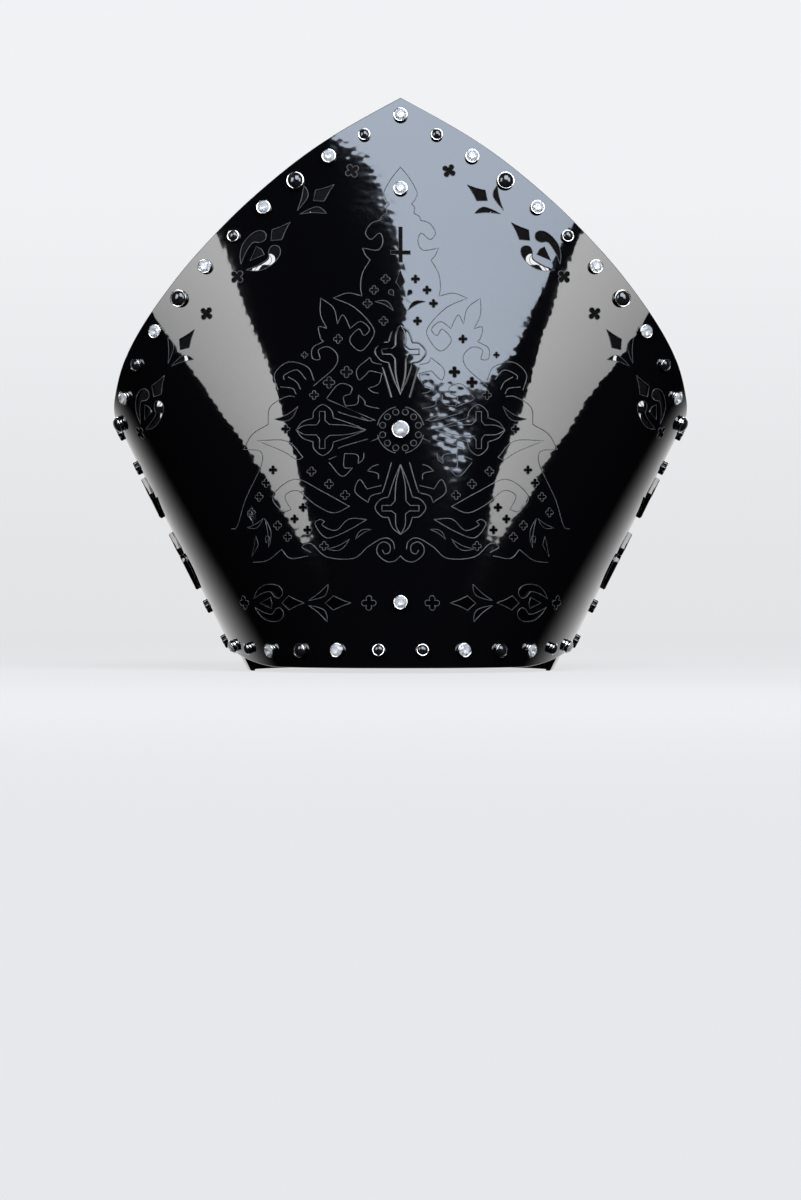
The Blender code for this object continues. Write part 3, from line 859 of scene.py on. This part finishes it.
LOWER_SCROLLS = (
    [[(51, -76.5), (80, -60.5), (106, -49), (128, -66), (118.5, -81), (109.5, -79.5)],
     [(109.5, -79.5), (115.5, -66), (103, -60.5), (87, -73.5), (67.5, -83), (51, -76.5)]],
    [[(33.5, -89.5), (51.5, -89), (64.5, -100.5), (78, -95.5), (76, -91.5)],
     [(76, -91.5), (80.5, -89.5), (85.5, -94.5), (74, -108), (54.5, -101.5), (33.5, -89.5)]],
    [[(0, -126), (5.7, -131), (13.8, -131.6), (22.7, -124.5), (23, -116.4), (17.3, -112), (11, -115),
      (10.7, -121.8), (15.5, -124), (18.2, -120)]],
    [[(6, -119), (7.5, -112), (13.8, -108), (21.8, -110), (33.5, -117.5)],
     [(33.5, -117.5), (47, -128.5), (74, -127), (89.5, -113.5), (98.5, -117), (89.5, -122.5)]],
    [[(92.5, -126), (110, -128.5), (119, -119.5)], [(119, -119.5), (133, -130.5), (147.5, -132.5)]],
)

# %% One cross, drawn on a ray from the crystal
CROSS_EDGE = (
    [[(34.5, 0), (50, 6.5), (67, 12)], [(67, 12), (69.5, 20), (78, 25.5), (86.5, 19), (87.5, 12)],
     [(87.5, 12), (98, 8), (104.5, 0)]],
    [[(34.5, 0), (53.5, 4.5), (71, 5.5)], [(71, 5.5), (75.5, 9.5)], [(75.5, 9.5), (75.5, 18.5)],
     [(75.5, 18.5), (81, 18.5)], [(81, 18.5), (81, 9)], [(81, 9), (84, 5)], [(84, 5), (96, 4.5), (104.5, 0)]],
    [[(32.5, 9), (56.5, 16), (62.5, 18.5)]],
)
BEADS = 12
BEAD_RING = 18.5            # radius of the ring of small round holes
BEAD_RADIUS = 1.5           # of one of them, in millimetres
RIM_RING = 23.5             # radius of the broken circle round them
SMALL_CROSS = {"low": 167.5, "high": 204.0, "bar": 177.5, "half_bar": 10.0, "width": 4.0}


def circle_arc(radius, first, last):
    """A smooth arc round the crystal, between two angles in degrees."""
    angles = [math.radians(first + (last - first) * step / 6) for step in range(7)]
    return [[(radius * math.cos(a), radius * math.sin(a)) for a in angles]]


field_lines = [line_through(line) for line in TOP_LEAVES + SIDE_SCROLLS + MIDDLE_CURLS + LOWER_SCROLLS]
field_lines += [line_through(circle_arc(RIM_RING, middle - 33, middle + 33)) for middle in (45, -45)]
field_lines += [[Vector((-across, up)) for across, up in line] for line in field_lines]
bold_lines = []             # the upper cross is drawn with a broader tool
for quarter in range(4):
    turned = Matrix.Rotation(quarter * math.pi / 2, 2)
    for line in CROSS_EDGE:
        half = line_through(line)
        target = bold_lines if quarter == 1 else field_lines
        target.append([turned @ point for point in half])
        target.append([turned @ Vector((ahead, -aside)) for ahead, aside in half])
print(len(field_lines), "fine and", len(bold_lines), "bold lines")


# %% A tree that draws raised lines
draw_lines, start, end = new_tree("raise_lines", (
    ("Radius", "NodeSocketFloat"), ("Sides", "NodeSocketInt"), ("Material", "NodeSocketMaterial"),
))
section = add_node(draw_lines, "GeometryNodeCurvePrimitiveCircle")
sweep_line = add_node(draw_lines, "GeometryNodeCurveToMesh")
sweep_line.inputs["Fill Caps"].default_value = True
realize = add_node(draw_lines, "GeometryNodeRealizeInstances")
paint = add_node(draw_lines, "GeometryNodeSetMaterial")
link_nodes(draw_lines, (
    (start.outputs["Radius"], section.inputs["Radius"]),
    (start.outputs["Sides"], section.inputs["Resolution"]),
    (start.outputs["Geometry"], sweep_line.inputs["Curve"]),
    (section.outputs["Curve"], sweep_line.inputs["Profile Curve"]),
    (sweep_line.outputs["Mesh"], realize.inputs["Geometry"]),
    (realize.outputs["Geometry"], paint.inputs["Geometry"]),
    (start.outputs["Material"], paint.inputs["Material"]),
    (paint.outputs["Geometry"], end.inputs["Geometry"]),
))
LINE_RADIUS = 0.00024
BOLD_RADIUS = 0.00050
LINE_SIDES = 6


def draw_on_front(name, lines, radius, material):
    """Raise lines of the drawing on the front."""
    paths = bpy.data.curves.new(name + "_paths", "CURVE")
    paths.dimensions = "3D"
    for line in lines:
        spline = paths.splines.new("POLY")
        spline.points.add(len(line) - 1)
        for point, (across, up) in zip(spline.points, line):
            point.co = (*wall_point(*on_front(across, up)), 1.0)
    drawn = run_tree(name, paths, draw_lines, {"Radius": radius, "Sides": LINE_SIDES, "Material": material})
    drawn.data.shade_smooth()
    place_on_hat(drawn, "leather", "front_panel")


# The fine lines take the grey painted highlight; the bold ones stay glossy black.
draw_on_front("drawn_lines", field_lines, LINE_RADIUS, painted_edge_highlight)
draw_on_front("bold_lines", bold_lines, BOLD_RADIUS, patent)

# %% Small holes of the drawing
SMALL_QUATREFOILS = (       # across, up, size against the border's
    (15, 151, 0.62), (26.5, 140, 0.62), (33, 126.5, 0.62), (17, 109, 0.62), (62.5, 91, 0.62),
    (54, 58, 0.80), (71.5, 47.5, 0.80), (86.5, 35, 0.62), (96, 75, 0.45), (115, 1, 0.62),
    (89, -41.5, 0.62), (71.5, -54, 0.62), (55.5, -65, 0.62), (127.5, -40, 0.62), (134.5, -53, 0.62),
    (141.5, -67, 0.62), (149, -82.5, 0.62), (97.5, -77.5, 0.62), (106, -89, 0.62), (123, -95.5, 0.62),
    (93, -100, 0.62), (113, -107, 0.62), (76.5, -116, 0.62),
)
SLIVERS = (                 # first point, last point, bulge against the length
    ((7, 119), (25.5, 128.5), 0.22), ((102.5, 23.5), (127, 11), -0.24), ((29.5, -99.5), (45, -109.5), 0.2),
    ((51, -109), (74, -119), -0.2), ((136, -88.5), (132, -118), -0.14), ((136, -88.5), (155.5, -97.5), -0.2),
)
TEARDROPS = ((9.5, 138, -35.0), (133, -108.5, 20.0))    # across, up, degrees from upright
MIDDLE_KITE = ((0, 160), (-4.6, 148), (0, 140.5), (4.6, 148))
CORNER_KITE = ((144.5, -106), (142, -115), (151, -127))
UNIT = 0.0005 / MM          # millimetres in a unit of the drawing
SLIVER_STEPS = 8
SLIVER_INNER = 0.35         # its two edges' bulges against the one in the table
SLIVER_OUTER = 1.25
TEARDROP_RADIUS = 1.25      # in millimetres
TEARDROP_POINT = 1.9        # how far its point is from its middle, in radii


# %% Outlines of the small holes
def sliver_point(length, bulge, step):
    """A point of a bow over a straight length, as many steps along it."""
    rise = bulge * math.sin(math.pi * step / SLIVER_STEPS)
    return Vector((length * (step / SLIVER_STEPS - 0.5), rise))


def sliver_outline(length, bulge):
    """A crescent of one length that bends to one side, thickest in its middle."""
    inner, outer = bulge * length * SLIVER_INNER, bulge * length * SLIVER_OUTER
    outline = [sliver_point(length, inner, step) for step in range(SLIVER_STEPS + 1)]
    outline += [sliver_point(length, outer, step) for step in range(SLIVER_STEPS - 1, 0, -1)]
    return outline if bulge < 0 else outline[::-1]


def teardrop_outline(radius):
    """A round drop with a point below it."""
    angles = [math.radians(degrees) for degrees in range(-120, 121, 24)]
    round_part = [Vector((radius * math.sin(a), radius * math.cos(a))) for a in angles]
    return [Vector((0.0, -TEARDROP_POINT * radius)), *round_part]


def on_paper(points, origin, side=1):
    """Points of the drawing in millimetres round one of them, mirrored for side -1."""
    return [Vector((side * (x - origin[0]), y - origin[1])) * UNIT for x, y in points]


# %% Cut the small holes
field_kit = new_kit("field_punches")
field_spots = []
field_middles = {}


def field_hole(name, outline, across, up, turned=0.0, factor=1.0):
    """One more shape cut at a point of the drawing, given in millimetres round that point."""
    if name not in field_middles:
        field_middles[name] = add_punch(field_kit, name, outline)
    aside, above = field_middles[name]
    ahead = (aside * math.cos(turned) - above * math.sin(turned)) * factor
    rise = (aside * math.sin(turned) + above * math.cos(turned)) * factor
    field_spots.append((name, wall_frame(*slide(*on_front(across, up), ahead, rise), turned), factor))


teardrop = teardrop_outline(TEARDROP_RADIUS)
for side, hand in ((-1, "left"), (1, "right")):
    for across, up, factor in SMALL_QUATREFOILS:
        field_hole("quatrefoil", QUATREFOIL, side * across, up, 0.0, factor)
    for index, (first, last, bulge) in enumerate(SLIVERS):
        begin, finish = Vector((side * first[0], first[1])), Vector((side * last[0], last[1]))
        run = finish - begin
        outline = sliver_outline(run.length * UNIT, side * bulge)
        field_hole(f"sliver_{index}_{hand}", outline, *((begin + finish) / 2), math.atan2(run.y, run.x))
    for across, up, lean in TEARDROPS:
        field_hole("teardrop", teardrop, side * across, up, math.radians(side * lean))
    tip = CORNER_KITE[0]
    field_hole("corner_kite_" + hand, on_paper(CORNER_KITE, tip, side), side * tip[0], tip[1])
field_hole("middle_kite", on_paper(MIDDLE_KITE, MIDDLE_KITE[0]), *MIDDLE_KITE[0])
half_bar, half_width, bar = SMALL_CROSS["half_bar"], SMALL_CROSS["width"] / 2, SMALL_CROSS["bar"]
right_half = [(half_width, SMALL_CROSS["low"]), (half_width, bar - half_width), (half_bar, bar - half_width),
              (half_bar, bar + half_width), (half_width, bar + half_width), (half_width, SMALL_CROSS["high"])]
cross = right_half + [(-x, y) for x, y in right_half[::-1]]
field_hole("small_cross", on_paper(cross, (0, bar)), 0, bar)
angles = [step * math.pi / 8 for step in range(16)]
bead = [Vector((BEAD_RADIUS * math.cos(a), BEAD_RADIUS * math.sin(a))) for a in angles]
for number in range(BEADS):
    angle = (number + 0.5) * 2 * math.pi / BEADS
    field_hole("bead", bead, BEAD_RING * math.cos(angle), BEAD_RING * math.sin(angle))
cut_holes(front_leather, field_kit, field_spots)

# %% [markdown]
# ## The edges of the holes
#
# A punch drags the lacquer with it, so every hole has a fine rolled edge. Its grey colour is
# a painted highlight for the light that edge catches, and draws the ornament as a thin pale line
# on the black. The same tree that raised the drawing's lines follows each outline here, laid back
# on the wall point by point.
# %% Rolled edges round the holes
ROLL_RADIUS = 0.00017


def edge_curves(name, kit, spots, inset=0.0):
    """Closed curves on the wall round each hole."""
    curves = bpy.data.curves.new(name + "_paths", "CURVE")
    curves.dimensions = "3D"
    for shape, place, factor in spots:
        outline = hole_outlines[f"{kit.name}_{shape}"]
        spline = curves.splines.new("POLY")
        spline.points.add(len(outline) - 1)
        spline.use_cyclic_u = True
        for point, (x, y) in zip(spline.points, outline):
            near = place @ Vector((x * factor, y * factor, 0.0))
            point.co = (*wall_point(nearest_turn(near), near.z, inset), 1.0)
    return curves


for name, kit, spots, inset, panel in (
    ("front_hole_edges", ornament_kit, front_spots, 0.0, "front_panel"),
    ("field_hole_edges", field_kit, field_spots, 0.0, "front_panel"),
    ("back_hole_edges", ornament_kit, back_spots, TUCK, "back_panel"),
):
    curves = edge_curves(name, kit, spots, inset)
    # The rolled edges take the grey painted highlight.
    values = {"Radius": ROLL_RADIUS, "Sides": LINE_SIDES, "Material": painted_edge_highlight}
    rolled = run_tree(name, curves, draw_lines, values)
    rolled.data.shade_smooth()
    place_on_hat(rolled, "leather", panel)
smooth_like_wall(front_leather)
smooth_like_wall(back_leather)
place_on_hat(front_leather, "leather", "front_panel")
place_on_hat(back_leather, "leather", "back_panel")

# %% [markdown]
# ## Studs
#
# Each stud is a round metal setting with a stone in it: a clear cut crystal, or a domed black
# stone. The setting is a turned cup with a bead rolled over the stone's edge. The crystal has a
# flat table, a ring of slanted facets and a point below, and its seat is bright metal, so it
# sparkles from every side as foil-backed stones do.
# %% Patterns for the studs
SEAT_GAP = 0.0003
LIP_HEIGHT = 0.0017
LIP_WIDTH = 0.0005
STUD_KINDS = {  # radius of the setting, height of the stone's top
    "crystal": (0.0036, 0.0032),
    "great_crystal": (0.0044, 0.0038),
    "bead": (0.0031, 0.0031),
    "great_bead": (0.0044, 0.0040),
    "rim_bead": (0.0036, 0.0034),
}
SETTING_SIDES = 28
DOME_SUNK = 0.0003          # how far a domed stone starts below the setting's lip
FACET_ANGLE = 1.0           # in degrees; a cut stone's facets all stay sharp


def turned_shape(profile, sides):
    """A closed turned shape from (radius, height) pairs, which start and end on the axis."""
    shape = bmesh.new()
    points = [shape.verts.new((radius, 0.0, height)) for radius, height in profile]
    edges = [shape.edges.new(pair) for pair in zip(points, points[1:])]
    bmesh.ops.spin(shape, geom=points + edges, axis=(0, 0, 1), cent=(0, 0, 0), angle=2 * math.pi, steps=sides)
    bmesh.ops.remove_doubles(shape, verts=shape.verts, dist=1e-7)
    bmesh.ops.recalc_face_normals(shape, faces=shape.faces)
    return shape


def setting_profile(radius, crystal_seat):
    """Half section of a setting: a cup, a rolled bead round its mouth and a seat for the stone."""
    bead = LIP_WIDTH * 0.62
    roll = [(radius - bead + bead * math.cos(a), LIP_HEIGHT + bead * math.sin(a))
            for a in (math.radians(d) for d in range(-60, 211, 30))]
    seat = 0.0002 if crystal_seat else LIP_HEIGHT - 0.0004
    return [(0.0, 0.0), (radius * 0.94, 0.0), (radius * 0.90, LIP_HEIGHT * 0.5), *roll,
            (radius - 2.4 * bead, LIP_HEIGHT - 0.0002), (radius * 0.25, seat), (0.0, seat)]


def cut_stone(radius, top):
    """A brilliant-cut crystal: table, star and kite facets, girdle and pointed pavilion."""
    girdle = radius - LIP_WIDTH * 1.1
    shape = bmesh.new()
    rings = (
        (8, girdle * 0.56, top, 0.5),
        (8, girdle * 0.80, top - (top - LIP_HEIGHT) * 0.36, 0.0),
        (16, girdle, LIP_HEIGHT + 0.0001, 0.0),
        (8, girdle * 0.55, LIP_HEIGHT * 0.55, 0.0),
    )
    for sides, reach, height, shift in rings:
        for i in range(sides):
            angle = (i + shift) * 2 * math.pi / sides
            shape.verts.new((reach * math.cos(angle), reach * math.sin(angle), height))
    shape.verts.new((0.0, 0.0, 0.0003))
    bmesh.ops.convex_hull(shape, input=shape.verts)
    bmesh.ops.dissolve_limit(shape, angle_limit=math.radians(1.0), verts=shape.verts, edges=shape.edges)
    bmesh.ops.recalc_face_normals(shape, faces=shape.faces)
    return shape


def domed_stone(radius, top):
    """A cabochon: a low dome that closes under the setting's lip."""
    reach = radius - LIP_WIDTH * 0.9
    rise = top - LIP_HEIGHT + DOME_SUNK
    seat = LIP_HEIGHT - DOME_SUNK
    angles = [math.radians(degrees) for degrees in range(0, 90, 10)]
    dome = [(reach * math.cos(a), seat + rise * math.sin(a)) for a in angles]
    return turned_shape([(0.0, seat), *dome, (0.0, top)], SETTING_SIDES)


def add_pattern(kit, name, shape):
    """Keep a shape as a pattern in a kit."""
    mesh = bpy.data.meshes.new(name)
    shape.to_mesh(mesh)
    shape.free()
    kit.objects.link(bpy.data.objects.new(f"{kit.name}_{name}", mesh))


setting_kit = new_kit("settings")
crystal_kit = new_kit("cut_stones")
onyx_kit = new_kit("domed_stones")
for kind, (radius, top) in STUD_KINDS.items():
    clear = "crystal" in kind
    add_pattern(setting_kit, kind + "_setting", turned_shape(setting_profile(radius, clear), SETTING_SIDES))
    stone_kit, make_stone = (crystal_kit, cut_stone) if clear else (onyx_kit, domed_stone)
    add_pattern(stone_kit, kind + "_stone", make_stone(radius, top))

# %% Where the studs sit
EDGE_MARGIN = 0.0082
LAST_EDGE_TURN = 79.0
RIM_STUD_HEIGHT = 0.0113
RIM_STUD_CLIMB = 0.33
LAST_RIM_TURN = 72.0
UPPER_STUD_HEIGHT = 0.2426
MIDDLE_STUD_HEIGHT = 0.1207
EDGE_ORDER = ("bead", "crystal", "great_bead", "crystal") * 2 + ("bead", "crystal", "great_bead")
RIM_ORDER = ("bead", "crystal", "rim_bead", "crystal", "bead", "crystal")


def rim_stud_height(turn):
    """Height of the rim's studs, which climb a little with the front rim."""
    return RIM_STUD_HEIGHT + RIM_STUD_CLIMB * (front_rim(turn) - FRONT_RIM_HEIGHT)


studs = []      # (kind, turn, height) on the front
edge_row = edge_path(EDGE_MARGIN, EDGE_MARGIN)
reach = max(point[0] for point in edge_row if point[1] <= math.radians(LAST_EDGE_TURN))
studs.append(("crystal", 0.0, path_at(edge_row, 0.0)[1]))
for number, kind in enumerate(EDGE_ORDER, start=1):
    turn, height, _ = path_at(edge_row, reach * number / len(EDGE_ORDER))
    studs += [(kind, turn, height), (kind, -turn, height)]
rim_row = level_path(rim_stud_height, math.radians(LAST_RIM_TURN))
for number, kind in enumerate(RIM_ORDER, start=1):
    turn, height, _ = path_at(rim_row, rim_row[-1][0] * (number - 0.5) / (len(RIM_ORDER) - 0.5))
    studs += [(kind, turn, height), (kind, -turn, height)]
both_faces = list(studs)
studs += [("crystal", 0.0, UPPER_STUD_HEIGHT), ("great_crystal", 0.0, MIDDLE_STUD_HEIGHT),
          ("crystal", 0.0, BAND_HEIGHT)]

spots = [(kind, wall_frame(turn, height, 0.0, SEAT_GAP)) for kind, turn, height in studs]
for kind, turn, height in both_faces:
    spots.append((kind, wall_frame(math.pi - turn, height, 0.0, SEAT_GAP - TUCK)))
print(len(studs), "studs in front,", len(both_faces), "behind")


# %% Set the studs
def chosen(ending, *kinds):
    """The spots of some kinds of stud, for one of the pieces that they are made of."""
    return [(kind + ending, place, 1.0) for kind, place in spots if kind in kinds]


stud_nodes = sorted(name for name in frame["nodes"] if "stud" in name)
clear_nodes = [name for name in stud_nodes if frame["nodes"][name].active_material.name.startswith("crystal")]
dark_nodes = [name for name in stud_nodes if name not in clear_nodes]
settings = set_on_wall("stud_settings", setting_kit, chosen("_setting", *STUD_KINDS), silver)
place_on_hat(settings, "silver", *stud_nodes)
clear_spots = chosen("_stone", "crystal", "great_crystal")
clear_stones = set_on_wall("clear_stones", crystal_kit, clear_spots, crystal, FACET_ANGLE)
place_on_hat(clear_stones, "crystal", *clear_nodes)
black_stones = set_on_wall("black_stones", onyx_kit, chosen("_stone", "bead", "great_bead", "rim_bead"), onyx)
place_on_hat(black_stones, "onyx", *dark_nodes)
print(len(clear_nodes), "clear and", len(dark_nodes), "black studs of the packed model are dressed")

# %% [markdown]
# ## The studio
#
# Patent leather shows the studio more than it shows itself. Three soft boxes make the bright
# shapes on the front: one far off and high, a little to the right, and one close by on each
# side, so close that its reflection ends part of the way down. Two more stand behind the hat.
# Between them the room is dark, so the leather stays black, and behind the hat it is pale, which
# gives the sides their bright rims. The pale floor and backdrop are one round sweep. Only the
# camera sees it, so it doesn't wash out the reflections.
# %% Soft boxes
ROOM_MIDDLE = Vector((0.0, -0.09, 0.15))
FAR = 6.0                   # metres from there to a card
NEAR = 1.0
KEY_LIGHT = (7.0, 9.2)      # radiance at a card's lower edge and from a third of the distance up
SIDE_LIGHT = (4.2, 7.0)
REAR_LIGHT = (4.0, 4.0)
KEY_CORNERS = ((4.2, 20.6), (10.3, 19.1), (18.9, 16.8), (23.4, 16.4), (27.0, 26.0), (40.0, 38.0),
               (48.0, 62.0), (-12.0, 62.0), (-6.8, 24.9), (-3.4, 24.6), (-0.9, 23.7), (1.4, 21.9))
SIDE_CORNERS = ((30.5, 17.5), (31.8, 14.0), (33.4, 10.5), (34.6, 8.4), (38.8, 4.8), (44.7, 1.9), (51.0, 0.8),
                (57.5, 0.6), (58.0, 40.0), (30.0, 40.0))
REAR_CORNERS = ((145.0, 10.0), (168.0, 10.0), (168.0, 42.0), (145.0, 42.0))


def direction(azimuth, elevation):
    """A direction from the hat: azimuth 0 is in front and positive to the right, in degrees."""
    side, up = math.radians(azimuth), math.radians(elevation)
    return Vector((math.sin(side) * math.cos(up), -math.cos(side) * math.cos(up), math.sin(up)))


def glow_by_height(material, low, high, weak, strong):
    """Let a material's emission grow from one height to another."""
    tree = material.node_tree
    where = add_node(tree, "ShaderNodeTexCoord")
    parts = add_node(tree, "ShaderNodeSeparateXYZ")
    rise = add_node(tree, "ShaderNodeMapRange")
    for label, value in (("From Min", low), ("From Max", high), ("To Min", weak), ("To Max", strong)):
        rise.inputs[label].default_value = value
    tree.links.new(where.outputs["Object"], parts.inputs["Vector"])
    tree.links.new(parts.outputs["Z"], rise.inputs["Value"])
    tree.links.new(rise.outputs["Result"], tree.nodes["Principled BSDF"].inputs["Emission Strength"])


def soft_box(name, corners, distance, radiance, colour):
    """A lit card whose corners lie in given directions from the hat."""
    mesh = bpy.data.meshes.new(name)
    places = [ROOM_MIDDLE + direction(*corner) * distance for corner in corners]
    mesh.from_pydata(places, [], [range(len(places))])
    lamp = new_material(name + "_light", (0.0, 0.0, 0.0), 1.0)
    lamp.node_tree.nodes["Principled BSDF"].inputs["Emission Color"].default_value = (*colour, 1.0)
    lowest = min(place.z for place in places)
    glow_by_height(lamp, lowest, lowest + distance * 0.35, *radiance)
    mesh.materials.append(lamp)
    card = add_piece(name, mesh)
    card.visible_camera = False


soft_box("key_box", KEY_CORNERS, FAR, KEY_LIGHT, (0.74, 0.84, 1.0))
for name, side in (("left", -1), ("right", 1)):
    near_corners = [(side * azimuth, elevation) for azimuth, elevation in SIDE_CORNERS]
    soft_box(name + "_box", near_corners, NEAR, SIDE_LIGHT, (0.99, 1.0, 0.99))
    rear_corners = [(side * azimuth, elevation) for azimuth, elevation in REAR_CORNERS]
    soft_box(name + "_rear_box", rear_corners, FAR, REAR_LIGHT, (1.0, 0.99, 0.97))
print("soft boxes are up")

# %% The room that the leather reflects
world = bpy.data.worlds.new("studio_room")
world.use_nodes = True
bpy.context.scene.world = world
room = world.node_tree
place = add_node(room, "ShaderNodeTexCoord")
split = add_node(room, "ShaderNodeSeparateXYZ")
behind_hat = add_node(room, "ShaderNodeMapRange", interpolation_type="SMOOTHSTEP")
behind_hat.inputs["From Min"].default_value = 0.30
behind_hat.inputs["From Max"].default_value = 0.95
behind_hat.inputs["To Min"].default_value = 0.002
behind_hat.inputs["To Max"].default_value = 0.8
room.links.new(place.outputs["Generated"], split.inputs["Vector"])
room.links.new(split.outputs["Y"], behind_hat.inputs["Value"])
room.links.new(behind_hat.outputs["Result"], room.nodes["Background"].inputs["Color"])

# %% Floor and backdrop
SWEEP_RADIUS = 3.4
SWEEP_BEND = 0.7
paper = new_material("backdrop_paper", (0.10, 0.10, 0.10), 0.9, Specular_IOR_Level=0.0)
paper.node_tree.nodes["Principled BSDF"].inputs["Emission Color"].default_value = (1.0, 1.0, 1.015, 1.0)
glow_by_height(paper, 0.0, 0.6, 0.68, 0.84)
profile = [(0.0, 0.0), (SWEEP_RADIUS - SWEEP_BEND, 0.0)]
profile += [(SWEEP_RADIUS - SWEEP_BEND + SWEEP_BEND * math.sin(a), SWEEP_BEND * (1 - math.cos(a)))
            for a in (math.radians(d) for d in range(10, 91, 10))]
profile += [(SWEEP_RADIUS, 3.6), (0.0, 4.6)]
sweep = finished_mesh("floor_and_backdrop", turned_shape(profile, 96), (paper,), 60.0)
sweep.data.flip_normals()
for ray in ("diffuse", "glossy", "transmission", "shadow"):
    setattr(sweep, "visible_" + ray, False)
print("sweep of", 2 * SWEEP_RADIUS, "m across")

# %% [markdown]
# ## The camera
#
# The camera stands 2 m in front of the hat, level and only 36 mm above the floor, as the
# photograph was taken from just above the height of the hat's rim. At that distance a lens of
# 116 mm gives the right size and hardly any perspective.
# %% Camera
LENS = 115.6                # millimetres
camera_data = bpy.data.cameras.new("camera")
camera_data.lens = LENS
camera_data.sensor_width = 36.0
camera_data.clip_end = 20.0
camera = bpy.data.objects.new("camera", camera_data)
bpy.context.scene.collection.objects.link(camera)
camera.location = EYE
camera.rotation_euler = (math.pi / 2, 0.0, 0.0)
bpy.context.scene.camera = camera
bpy.context.scene.view_settings.view_transform = "Standard"
